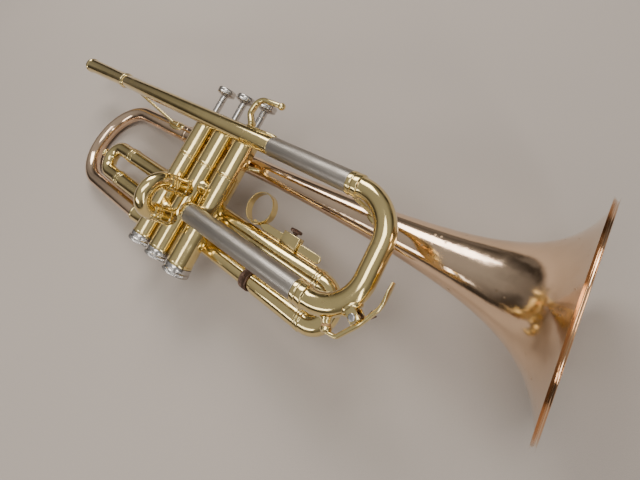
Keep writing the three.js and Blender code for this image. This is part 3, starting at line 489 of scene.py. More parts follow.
# ---- Paths ----
class Path:
    """A line of points with a direction at each, measured from its start."""

    def __init__(self, points: Sequence[Vector], ways: Sequence[Vector]) -> None:
        """Measures each point's distance from the start."""
        self.points = list(points)
        self.ways = list(ways)
        self.marks = [0.0]
        for a, b in zip(self.points, self.points[1:]):
            self.marks.append(self.marks[-1] + (b - a).length)

    @property
    def length(self) -> float:
        """The whole length."""
        return self.marks[-1]

    @classmethod
    def line(cls, start: Vector, end: Vector) -> "Path":
        """A straight path."""
        way = (end - start).normalized()
        return cls([start, end], [way, way])

    @classmethod
    def bent(cls, corners: Sequence[Vector], radii: float | Sequence[float]) -> "Path":
        """Straight legs between corners, each corner rounded to its radius."""
        points, ways = [corners[0]], [(corners[1] - corners[0]).normalized()]
        for i in range(1, len(corners) - 1):
            radius = radii if isinstance(radii, (int, float)) else radii[i - 1]
            into = (corners[i] - corners[i - 1]).normalized()
            out = (corners[i + 1] - corners[i]).normalized()
            angle = into.angle(out)
            start = corners[i] - into * (radius * math.tan(angle / 2))
            inward = (out - into * out.dot(into)).normalized()
            centre = start + inward * radius
            steps = max(2, math.ceil(angle / BEND_STEP))
            for k in range(steps + 1):
                a = angle * k / steps
                point = centre - inward * (radius * math.cos(a)) + into * (radius * math.sin(a))
                if (point - points[-1]).length > 1e-4:
                    points.append(point)
                    ways.append(into * math.cos(a) + inward * math.sin(a))
        if (corners[-1] - points[-1]).length > 1e-4:
            points.append(corners[-1])
            ways.append((corners[-1] - points[-2]).normalized())
        return cls(points, ways)

    @classmethod
    def through(cls, points: Sequence[Vector]) -> "Path":
        """A path along close points, with directions from their neighbours."""
        ways = []
        for i in range(len(points)):
            before, after = points[max(i - 1, 0)], points[min(i + 1, len(points) - 1)]
            ways.append((after - before).normalized())
        return cls(points, ways)

    def locate(self, s: float) -> tuple[Vector, Vector]:
        """The point and direction at a distance, straight on past the ends."""
        if s <= 0:
            return self.points[0] + self.ways[0] * s, self.ways[0].copy()
        if s >= self.length:
            return self.points[-1] + self.ways[-1] * (s - self.length), self.ways[-1].copy()
        k = int(np.searchsorted(self.marks, s, side="right")) - 1
        share = (s - self.marks[k]) / (self.marks[k + 1] - self.marks[k])
        point = self.points[k].lerp(self.points[k + 1], share)
        return point, self.ways[k].lerp(self.ways[k + 1], share).normalized()

    def fill(self, outline: Sequence[tuple]) -> list[tuple]:
        """An outline with the stations that the bends need, its other values in proportion."""
        full = [tuple(outline[0])]
        for before, after in zip(outline, outline[1:]):
            low, high = sorted((before[0], after[0]))
            between = [m for m in self.marks if low + 0.05 < m < high - 0.05]
            for mark in between if after[0] > before[0] else reversed(between):
                share = (mark - before[0]) / (after[0] - before[0])
                full.append((mark, *(a + (b - a) * share for a, b in zip(before[1:], after[1:]))))
            full.append(tuple(after))
        return full

    def frames(self, marks: Sequence[float], side: Vector | None = None) -> list[tuple]:
        """A point and two cross directions at each mark, turned as little as the bends allow."""
        order = sorted(range(len(marks)), key=lambda i: marks[i])
        way = self.locate(marks[order[0]])[1]
        across = side.copy() if side else UP.cross(way)
        if across.length < 0.1:
            across = LEFT.copy()
        across = (across - way * across.dot(way)).normalized()
        found: list = [None] * len(marks)
        for i in order:
            point, now = self.locate(marks[i])
            across = way.rotation_difference(now) @ across
            across = (across - now * across.dot(now)).normalized()
            way = now
            found[i] = (point, across.copy(), now.cross(across))
        return found


def level(start: float, end: float, y: float, z: float) -> Path:
    """A straight path along x."""
    return Path.line(vec(start, y, z), vec(end, y, z))


def soften(outline: Outline, reach: float, closed: bool = True) -> list:
    """An outline whose corners are rounded, none by more than its edges leave room for."""
    count = len(outline)
    rounded = []
    for i, corner in enumerate(outline):
        if not closed and i in (0, count - 1):
            rounded.append(corner)
            continue
        here = Vector(corner)
        before, after = Vector(outline[i - 1]), Vector(outline[(i + 1) % count])
        into, out = here - before, after - here
        if min(into.length, out.length) < 1e-6 or into.angle(out) < 0.2 or corner[1] < 1e-6:
            rounded.append(corner)
            continue
        room = min(reach, 0.45 * into.length, 0.45 * out.length)
        a, b = here - into.normalized() * room, here + out.normalized() * room
        for k in range(4):
            t = k / 3
            point = a * (1 - t) ** 2 + here * (2 * t * (1 - t)) + b * t**2
            rounded.append((point.x, point.y))
    return rounded


def angles(count: int) -> list[float]:
    """The angles of evenly spaced places all round."""
    return [2 * math.pi * k / count for k in range(count)]


def swell(radius: float, *steps: tuple[float, float]) -> list[tuple[float, float]]:
    """An outline of (distance, rise over a radius) pairs."""
    return [(s, radius + rise) for s, rise in steps]


# ---- Meshes ----
@dataclass
class Skin:
    """Points, faces and a map of distances along and around, for one closed piece."""

    points: list = field(default_factory=list)
    faces: list = field(default_factory=list)
    uvs: list = field(default_factory=list)

    def rings(self, rings: list[list[Vector]], spans: list[tuple[float, float]], loop: bool) -> None:
        """Joins rings of points side by side; a ring shrunk to one point closes an end.

        Args:
            rings: the points of each ring.
            spans: each ring's distance along and its length around.
            loop: whether the last ring joins the first.
        """
        sides = len(rings[0])
        ids = []
        for ring in rings:
            first = len(self.points)
            if max((p - ring[0]).length for p in ring) < 1e-4:
                self.points.append(ring[0])
                ids.append([first] * sides)
            else:
                self.points.extend(ring)
                ids.append(list(range(first, first + sides)))
        count = len(rings)
        for i in range(count if loop else count - 1):
            j = (i + 1) % count
            (s0, w0), (s1, w1) = spans[i], spans[j]
            for k in range(sides):
                m = (k + 1) % sides
                corners = [ids[i][k], ids[i][m], ids[j][m], ids[j][k]]
                places = [
                    (s0, w0 * k / sides), (s0, w0 * (k + 1) / sides), (s1, w1 * (k + 1) / sides),
                    (s1, w1 * k / sides),
                ]
                kept = [n for n in range(4) if corners[n] != corners[n - 1]]
                if len(kept) > 2:
                    self.faces.append([corners[n] for n in kept])
                    self.uvs.extend((places[n][0] * MM, places[n][1] * MM) for n in kept)


Tweak = Callable[[Vector, float, float, float], Vector]


def turned(path: Path, outline: Outline, sides: int = FINE, tweak: Tweak | None = None) -> Skin:
    """A closed outline of (distance, radius) pairs turned about a path.

    Args:
        path: the line that it follows.
        outline: the loop, outside and then back along the inside.
        sides: points round each ring.
        tweak: moves a point, given it with its distance, radius and angle.

    Returns:
        The piece's skin.
    """
    full = path.fill([*outline, outline[0]])[:-1]
    frames = path.frames([s for s, _ in full])
    rings, spans = [], []
    for (s, r), (point, side, over) in zip(full, frames):
        ring = []
        for a in angles(sides):
            at = point + side * (r * math.cos(a)) + over * (r * math.sin(a))
            ring.append(tweak(at, s, r, a) if tweak and r > 0 else at)
        rings.append(ring)
        spans.append((s, 2 * math.pi * r))
    skin = Skin()
    skin.rings(rings, spans, loop=outline[0][1] > 1e-6)
    return skin


def tube(
    path: Path, outside: Outline, bore: Outline, sides: int = FINE,
    tweak: Tweak | None = None, edge: float = 0.25,
) -> Skin:
    """A tube open at both ends, with softened edges."""
    return turned(path, soften([*outside, *reversed(bore)], edge), sides, tweak)


def pipe(path: Path, radius: float, bore: float) -> Skin:
    """A plain tube over a whole path."""
    end = path.length
    return tube(path, [(0, radius), (end, radius)], [(0, bore), (end, bore)])


def rod(
    path: Path, stations: Outline, sides: int = SMALL,
    tweak: Tweak | None = None, edge: float = 0.25,
) -> Skin:
    """A solid turned piece, closed at both ends."""
    skin = [(stations[0][0], 0.0), *stations, (stations[-1][0], 0.0)]
    return turned(path, soften(skin, edge, closed=False), sides, tweak)


def knurl(path: Path, low: float, high: float, count: int, depth: float) -> Tweak:
    """Fine lengthwise ridges on the part of a turned piece between two distances."""

    def tweak(at: Vector, s: float, r: float, a: float) -> Vector:
        """Moves one point."""
        if not low <= s <= high:
            return at
        centre = path.locate(s)[0]
        return at + (centre - at).normalized() * (depth * (0.5 - 0.5 * math.cos(count * a)))

    return tweak


def seat(path: Path, valve_x: float, low: float, high: float) -> Tweak:
    """Slides a tube's points along its path until they lie on a valve's casing.

    Args:
        path: the tube's path.
        valve_x: the valve's place along the playing frame.
        low: the first distance that is moved.
        high: the last distance that is moved.

    Returns:
        The tweak.
    """

    def tweak(at: Vector, s: float, r: float, a: float) -> Vector:
        """Moves one point."""
        if not low <= s <= high:
            return at
        way = path.locate(s)[1]
        offset = at - vec(valve_x, 0, 0)
        offset = offset - UP * offset.dot(UP)
        across = way - UP * way.dot(UP)
        qa, qb = across.dot(across), 2 * offset.dot(across)
        qc = offset.dot(offset) - SEAT_R * SEAT_R
        root = max(qb * qb - 4 * qa * qc, 0.0) ** 0.5
        moves = ((-qb - root) / (2 * qa), (-qb + root) / (2 * qa))
        return at + way * min(moves, key=abs)

    return tweak


def ribbon(
    path: Path, stations: Sequence[Triple], side: Vector, power: float = 4.0, sides: int = SMALL
) -> Skin:
    """A bar of rounded flat section along a path, closed and rounded at both ends.

    Args:
        path: the line that it follows.
        stations: (distance, half width, half thickness) triples.
        side: the direction of its width at the start.
        power: 2 for an oval section, more for a flatter one.
        sides: points round the section.

    Returns:
        The piece's skin.
    """
    first, last = stations[0], stations[-1]
    reach = min(first[2], last[2]) * 0.9
    cap = [(0.0, 0.0), (0.13, 0.5), (0.5, 0.87), (1.0, 1.0)]
    full = [(first[0] + reach * t, first[1] - first[2] * (1 - v), first[2] * v) for t, v in cap]
    full += stations[1:-1]
    full += [(last[0] - reach * t, last[1] - last[2] * (1 - v), last[2] * v) for t, v in reversed(cap)]
    full = path.fill(full)
    rings, spans = [], []
    for (s, w, t), (point, across, over) in zip(full, path.frames([f[0] for f in full], side)):
        ring = []
        for a in angles(sides):
            c, n = math.cos(a), math.sin(a)
            x = math.copysign(abs(c) ** (2 / power), c) * w
            y = math.copysign(abs(n) ** (2 / power), n) * t
            ring.append(point + across * x + over * y)
        rings.append(ring)
        spans.append((s, 4 * (w + t)))
    for end in (0, -1):
        middle = sum(rings[end], Vector((0, 0, 0))) / sides
        rings.insert(0 if end == 0 else len(rings), [middle] * sides)
        spans.insert(0 if end == 0 else len(spans), spans[end])
    skin = Skin()
    skin.rings(rings, spans, loop=False)
    return skin


def leaf(
    path: Path, radius: float, at: float, out: Vector, length: float, width: float,
    thick: float = 1.1, pointed: float = 1.0,
) -> Skin:
    """A thin plate with a rounded edge, wrapped on the side of a tube.

    Args:
        path: the tube's line.
        radius: the tube's radius there.
        at: how far along the plate's middle is.
        out: the direction of that side.
        length: the plate's length along the tube.
        width: its width round the tube.
        thick: its thickness.
        pointed: 1 for an oval, less for pointed ends.

    Returns:
        The piece's skin.
    """
    way = path.locate(at)[1]
    up = (out - way * out.dot(way)).normalized()
    across = way.cross(up)
    lift = ((0.0, 1.0), (0.5, 1.0), (0.8, 0.96), (0.93, 0.75), (0.985, 0.4), (1.0, 0.0))
    rings = []
    for share, height in [*lift, (1.0, -0.5), (0.5, -0.5), (0.0, -0.5)]:
        ring = []
        for a in angles(MEDIUM):
            reach = math.copysign(abs(math.cos(a)) ** (1 / pointed), math.cos(a))
            u = reach * share * length / 2
            v = math.sin(a) * share * width / 2 / radius
            h = radius + thick * height
            base = path.locate(at + u)[0]
            ring.append(base + up * (h * math.cos(v)) + across * (h * math.sin(v)))
        rings.append(ring)
    skin = Skin()
    skin.rings(rings, [(i * 2.0, width * 2) for i in range(len(rings))], loop=False)
    return skin


def placed(name: str, data: bpy.types.ID) -> bpy.types.Object:
    """A new object in the scene."""
    made = bpy.data.objects.new(name, data)
    bpy.context.scene.collection.objects.link(made)
    return made


class Playing:
    """The playing frame's place in the row frame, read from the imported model."""

    def __init__(self, frame: dict) -> None:
        """Finds the frame's axes and origin from the joints and the middle cap."""
        axes = {j["name"]: Vector(j["axis"]).normalized() for j in frame["joints"]}
        self.x = axes["main_tuning_slide"]
        self.z = -axes["valve_2_press"]
        self.y = self.z.cross(self.x)
        corners = [v.co for v in frame["nodes"]["bottom_cap_2"].data.vertices]
        middle = Vector((0, 0, 0))
        for way in (self.x, self.y):
            reach = [p.dot(way) for p in corners]
            middle += way * ((min(reach) + max(reach)) / 2)
        self.origin = middle + self.z * min(p.dot(self.z) for p in corners)

    def row(self, point: Vector) -> Vector:
        """A playing-frame point, in millimetres, as a row-frame point in metres."""
        return self.origin + self.turn(point) * MM

    def turn(self, way: Vector) -> Vector:
        """A playing-frame direction as a row-frame one."""
        return self.x * way.x + self.y * way.y + self.z * way.z


class Workshop:
    """Turns skins into shown pieces that ride on their bodies."""

    def __init__(self, playing: Playing) -> None:
        """Starts with no pieces."""
        self.playing = playing
        self.made = 0

    def piece(
        self, name: str, skin: Skin, finish: Finish, body: Body, stands_for: Sequence[str] = ()
    ) -> bpy.types.Object:
        """Adds a piece.

        Args:
            name: the piece's name.
            skin: its shape in the playing frame.
            finish: its finish.
            body: the CAD body that it rides on.
            stands_for: the CAD nodes that it replaces.

        Returns:
            The new object.
        """
        mesh = bpy.data.meshes.new(name)
        places = [self.playing.row(p) for p in skin.points]
        mesh.from_pydata(places, [], skin.faces)
        layer = mesh.uv_layers.new(name="along_and_around")
        layer.data.foreach_set("uv", np.array(skin.uvs, np.float32).ravel())
        return self.finish(name, mesh, finish, body, stands_for)

    def block(
        self, name: str, centre: Vector, axes: tuple[Vector, Vector, Vector], size: Triple,
        finish: Finish, body: Body, bevel: float = 0.4,
    ) -> bpy.types.Object:
        """Adds a box with rounded edges, along the given axes."""
        work = bmesh.new()
        bmesh.ops.create_cube(work, size=1.0)
        bmesh.ops.scale(work, vec=size, verts=work.verts)
        bmesh.ops.bevel(
            work, geom=work.edges[:], offset=bevel, segments=3, profile=0.5, affect="EDGES"
        )
        for vertex in work.verts:
            x, y, z = vertex.co
            point = centre + axes[0] * x + axes[1] * y + axes[2] * z
            vertex.co = self.playing.row(point)
        mesh = bpy.data.meshes.new(name)
        work.to_mesh(mesh)
        work.free()
        mesh.uv_layers.new(name="along_and_around")
        return self.finish(name, mesh, finish, body, ())

    def finish(
        self, name: str, mesh: bpy.types.Mesh, finish: Finish, body: Body, stands_for: Sequence[str]
    ) -> bpy.types.Object:
        """Closes a mesh's normals, shades it, paints it and puts it on its body."""
        work = bmesh.new()
        work.from_mesh(mesh)
        bmesh.ops.recalc_face_normals(work, faces=work.faces[:])
        work.to_mesh(mesh)
        work.free()
        mesh.shade_smooth()
        mesh.set_sharp_from_angle(angle=SHARP_ANGLE)
        mesh.materials.append(finish.material())
        made = placed(name, mesh)
        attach(made, body.value)
        if stands_for:
            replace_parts(made, *stands_for)
        self.made += 1
        LOG.info("%s: %d faces", name, len(mesh.polygons))
        return made


@dataclass
class Assembly:
    """A group of pieces made in one workshop."""

    shop: Workshop

    def build(self) -> None:
        """Adds the group's pieces."""
        raise NotImplementedError

    def show(
        self, name: str, skin: Skin, finish: Finish, body: Body = Body.MAIN, node: str = ""
    ) -> bpy.types.Object:
        """Adds the fine piece that stands for a CAD node, which has its name unless given."""
        return self.shop.piece(name + "_fine", skin, finish, body, [node or name])

    def add(self, name: str, skin: Skin, finish: Finish, body: Body = Body.MAIN) -> None:
        """Adds a piece that only the looks have."""
        self.shop.piece(name, skin, finish, body)


@dataclass
class Valve(Assembly):
    """One valve: casing, caps, piston, stem, button and spring."""

    number: int

    @property
    def x(self) -> float:
        """The valve's place along the playing frame."""
        return (self.number - 2) * PITCH

    def axis(self, low: float, high: float) -> Path:
        """The valve's axis between two heights."""
        return Path.line(vec(self.x, 0, low), vec(self.x, 0, high))

    def build(self) -> None:
        """Adds the group's pieces."""
        self.casing()
        self.cap("bottom", self.axis(0, CAP_H), 2.5)
        self.cap("top", self.axis(CASING_H, CASING_H - CAP_H), STEM_R + 0.5)
        self.moving()
        self.spring()

    def casing(self) -> None:
        """The casing, with the seam between its two halves and a bead next to each cap."""
        low, high = 2.4, CASING_H - 2.4
        outside = [
            (low, THREAD_R), (CAP_H + 0.2, THREAD_R), (CAP_H + 0.25, CASING_R + 0.25),
            (CAP_H + 1.6, CASING_R + 0.25), (CAP_H + 2.0, CASING_R), (SEAM_Z - 1.5, CASING_R),
            (SEAM_Z - 1.2, CASING_R + 0.18), (SEAM_Z - 0.45, CASING_R + 0.18),
            (SEAM_Z - 0.2, CASING_R - 0.5), (SEAM_Z + 0.2, CASING_R - 0.5),
            (SEAM_Z + 0.45, CASING_R + 0.18), (SEAM_Z + 1.2, CASING_R + 0.18),
            (SEAM_Z + 1.5, CASING_R), (CASING_H - CAP_H - 2.0, CASING_R),
            (CASING_H - CAP_H - 1.6, CASING_R + 0.25), (CASING_H - CAP_H - 0.25, CASING_R + 0.25),
            (CASING_H - CAP_H - 0.2, THREAD_R), (high, THREAD_R),
        ]
        bore = [(low, CASING_BORE), (high, CASING_BORE)]
        skin = tube(self.axis(0, CASING_H), outside, bore, 72, edge=0.12)
        self.show(f"valve_casing_{self.number}", skin, BRASS)

    def cap(self, which: str, axis: Path, hole: float) -> None:
        """A screw cap from its closed end to its open one, with a milled rim."""
        outside = [
            (0.0, CAP_R - 1.9), (0.35, CAP_R - 0.7), (0.6, CAP_R), (0.9, CAP_R), (2.7, CAP_R),
            (3.0, CAP_R), (3.5, CAP_BODY_R - 0.25), (4.1, CAP_BODY_R - 0.25), (4.6, CAP_BODY_R),
            (CAP_H - 0.8, CAP_BODY_R), (CAP_H, CAP_BODY_R - 0.15),
        ]
        bore = [(0.35, hole), (2.0, hole), (2.05, CAP_BORE), (CAP_H, CAP_BORE)]
        mill = knurl(axis, 0.85, 2.75, 45, 0.28)
        skin = tube(axis, outside, bore, 180, mill, 0.12)
        self.show(f"{which}_cap_{self.number}", skin, BRIGHT)

    def moving(self) -> None:
        """What goes down with the finger: piston, stem, button and its pearl."""
        body = VALVES[self.number - 1]
        low, high = PISTON_FROM, PISTON_TO
        bore = PISTON_R - 1
        inside = [
            (low, SPRING_R / 2), (low + PISTON_FLOOR, SPRING_R / 2),
            (low + PISTON_FLOOR + 0.01, bore), (high - PISTON_FLOOR, bore),
            (high - PISTON_FLOOR + 0.01, STEM_R), (high, STEM_R),
        ]
        skin = tube(self.axis(0, CASING_H), [(low, PISTON_R), (high, PISTON_R)], inside, 48)
        self.show(f"piston_{self.number}", skin, STEEL, body)
        stations = [
            (PISTON_TO + 0.3, STEM_R), (BUTTON_Z - 6.0, STEM_R), (BUTTON_Z - 5.7, STEM_R - 0.3),
            (BUTTON_Z - 5.3, STEM_R - 0.3), (BUTTON_Z - 5.0, STEM_R), (BUTTON_Z - 0.3, STEM_R),
        ]
        stem = rod(self.axis(0, BUTTON_Z), stations, MEDIUM, edge=0.1)
        self.show(f"valve_stem_{self.number}", stem, BRIGHT, body)
        top = BUTTON_Z + BUTTON_H
        outline = [
            (BUTTON_Z, 0.0), (BUTTON_Z, STEM_R + 0.6), (BUTTON_Z + 0.4, STEM_R + 1.0),
            (BUTTON_Z + 1.0, BUTTON_R - 1.6), (BUTTON_Z + 1.6, BUTTON_R - 0.4),
            (BUTTON_Z + 2.4, BUTTON_R), (BUTTON_Z + 3.2, BUTTON_R - 0.3),
            (BUTTON_Z + 3.6, BUTTON_R - 0.3), (BUTTON_Z + 4.2, BUTTON_R), (top - 1.1, BUTTON_R),
            (top - 0.5, BUTTON_R - 0.25), (top, BUTTON_R - 0.8), (top, PEARL_R + 0.1),
            (top - 1.6, PEARL_R + 0.1), (top - 1.6, 0.0),
        ]
        axis = self.axis(0, top)
        name = f"finger_button_{self.number}"
        button = turned(axis, soften(outline, 0.3, closed=False), WIDE)
        self.show(name, button, BRIGHT, body)
        stations = [
            (top - 1.4, PEARL_R), (top - 0.35, PEARL_R), (top - 0.12, PEARL_R * 0.8),
            (top - 0.04, PEARL_R * 0.4), (top, 0.3),
        ]
        self.show(f"pearl_{self.number}", rod(axis, stations, WIDE), PEARL, body)

    def spring(self) -> None:
        """The coil under the piston."""
        low, turns = CAP_FLOOR + SPRING_WIRE_R + 0.15, 5
        height = PISTON_FROM - low - SPRING_WIRE_R - 0.15
        count = turns * COIL_STEPS
        points = []
        for k in range(count + 1):
            a = 2 * math.pi * turns * k / count
            z = low + height * k / count
            points.append(vec(self.x + SPRING_R * math.cos(a), SPRING_R * math.sin(a), z))
        path = Path.through(points)
        wire = rod(path, [(0, SPRING_WIRE_R), (path.length, SPRING_WIRE_R)], 8)
        name = f"valve_spring_{self.number}"
        coil = self.show(name, wire, STEEL)
        anchor = self.shop.playing.row(vec(self.x, 0, CAP_FLOOR))
        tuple(self.shop.playing.z)
        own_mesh(coil)


@dataclass
class Leadpipe(Assembly):
    """The mouthpiece receiver, the leadpipe and the two fixed nickel tubes of the main slide."""

    def build(self) -> None:
        """Adds the group's pieces."""
        lead = level(LEAD_START, TUNING_X - FIT_GAP, LEAD_Y, LEAD_Z)
        end = RECEIVER_L
        outside = swell(
            LEAD_REAR_R, (0.0, 0.2), (0.5, 1.0), (3.4, 1.1), (4.2, 0.6), (5.0, 0.45),
            (end - 6.4, 0.3), (end - 5.8, 0.35), (end - 5.2, 0.9), (end - 3.0, 0.9),
            (end - 2.6, 0.45), (end - 0.4, 0.4), (end, 0.15),
        )
        nose = LEAD_REAR_R - 0.5
        bore = [(0.0, SOCKET_R), (end - 9, SOCKET_R - 0.6), (end - 8.9, nose), (end, nose)]
        skin = tube(lead, outside, bore, WIDE, edge=0.3)
        self.show("receiver", skin, BRASS, node="mouthpiece_receiver")
        front = UPPER_OUTER_X - LEAD_START
        outside = [
            (end - 6.7, nose - 0.05), (end + 0.1, nose - 0.05), (end + 0.15, LEAD_REAR_R),
            (front - 0.4, LEAD_FRONT_R), (front - 0.1, INNER_R), (front + 12, INNER_R),
        ]
        bore = [(end - 6.7, nose - 0.65), (front + 12, INNER_BORE)]
        self.show("leadpipe", tube(lead, outside, bore), BRASS)
        upper = level(UPPER_OUTER_X, TUNING_X - FIT_GAP, LEAD_Y, LEAD_Z)
        lower = level(LOWER_OUTER_X, TUNING_X - FIT_GAP, LEAD_Y, LOWER_Z)
        for name, path in (("upper_outer_slide", upper), ("lower_outer_slide", lower)):
            length = path.length
            outside = swell(OUTER_R, (0.0, -0.1), (0.2, 0.0), (length - 0.2, 0.0), (length, -0.1))
            skin = tube(path, outside, [(0, OUTER_BORE), (length, OUTER_BORE)], WIDE)
            self.show(name, skin, NICKEL)
        self.elbow()
        self.hook(lead)

    def elbow(self) -> None:
        """The bend that takes the lower tube into the side of the third valve."""
        corners = [
            vec(LOWER_OUTER_X + 7, LEAD_Y, LOWER_Z),
            vec(LOWER_OUTER_X - 14.2, LEAD_Y, LOWER_Z),
            vec(PITCH - 3, -3, LOWER_Z),
        ]
        path = Path.bent(corners, KNUCKLE_R)
        end = path.length
        outside = [
            (0.0, INNER_R), (7.2, INNER_R), (7.3, OUTER_R + 0.1), (9.4, OUTER_R + 0.1),
            (9.8, INNER_R + 0.4), (end - 3, INNER_R),
        ]
        bore = [(0.0, INNER_BORE), (end - 3, INNER_BORE)]
        onto = seat(path, PITCH, end - 3.1, end)
        self.show("elbow", tube(path, outside, bore, tweak=onto), BRASS, node="third_valve_elbow")

    def hook(self, lead: Path) -> None:
        """The little finger's hook on its pointed foot."""
        top = LEAD_Z + 28.5
        corners = [
            vec(HOOK_X - 10, LEAD_Y, LEAD_Z + LEAD_FRONT_R + 0.4),
            vec(HOOK_X - 18.5, LEAD_Y, LEAD_Z + 16),
            vec(HOOK_X - 16.5, LEAD_Y, top),
            vec(HOOK_X + 6, LEAD_Y, top),
        ]
        path = Path.bent(corners, [6, 7])
        end = path.length
        stations = [(0, 3.2, 2.6), (5, 2.7, 2.3), (end * 0.5, 2.5, 2.2), (end, 2.2, 1.9)]
        stem = ribbon(path, stations, LEFT, 2.4)
        self.show("hook", stem, BRASS, node="pinky_hook")
        tip = path.locate(end)[0]
        size = HOOK_BALL_R
        ball = Path.line(tip - UP * size, tip + UP * size)
        dome = [(size - size * math.cos(a), size * math.sin(a)) for a in np.linspace(0.15, 2.99, 13)]
        self.add("hook_ball", rod(ball, dome), BRASS)
        foot = leaf(lead, LEAD_FRONT_R, HOOK_X - LEAD_START, UP, 32, 9.5, 1.3, 0.75)
        self.add("hook_foot", foot, BRASS)


def crook_path(
    start: Vector, end: Vector, way: Vector, reach: float, bend: float | None = None
) -> Path:
    """Two straight legs joined by a half circle, or by two bends of a given radius."""
    radius = bend or (end - start).length / 2 - 0.001
    return Path.bent([start, start + way * reach, end + way * reach, end], radius)


def crook(path: Path, radius: float, bore: float, size: float, big: float) -> Skin:
    """A U of tube with a banded ferrule, of a given length and radius, on each end."""
    steps = [
        (0.0, big - 0.15), (0.25, big), (size * 0.3, big), (size * 0.36, big - 0.3),
        (size * 0.44, big - 0.3), (size * 0.5, big), (size - 0.8, big), (size - 0.4, big - 0.25),
        (size, radius),
    ]
    end = path.length
    outside = steps + [(end - s, r) for s, r in reversed(steps)]
    return tube(path, outside, [(0, bore), (end, bore)], WIDE, edge=0.2)


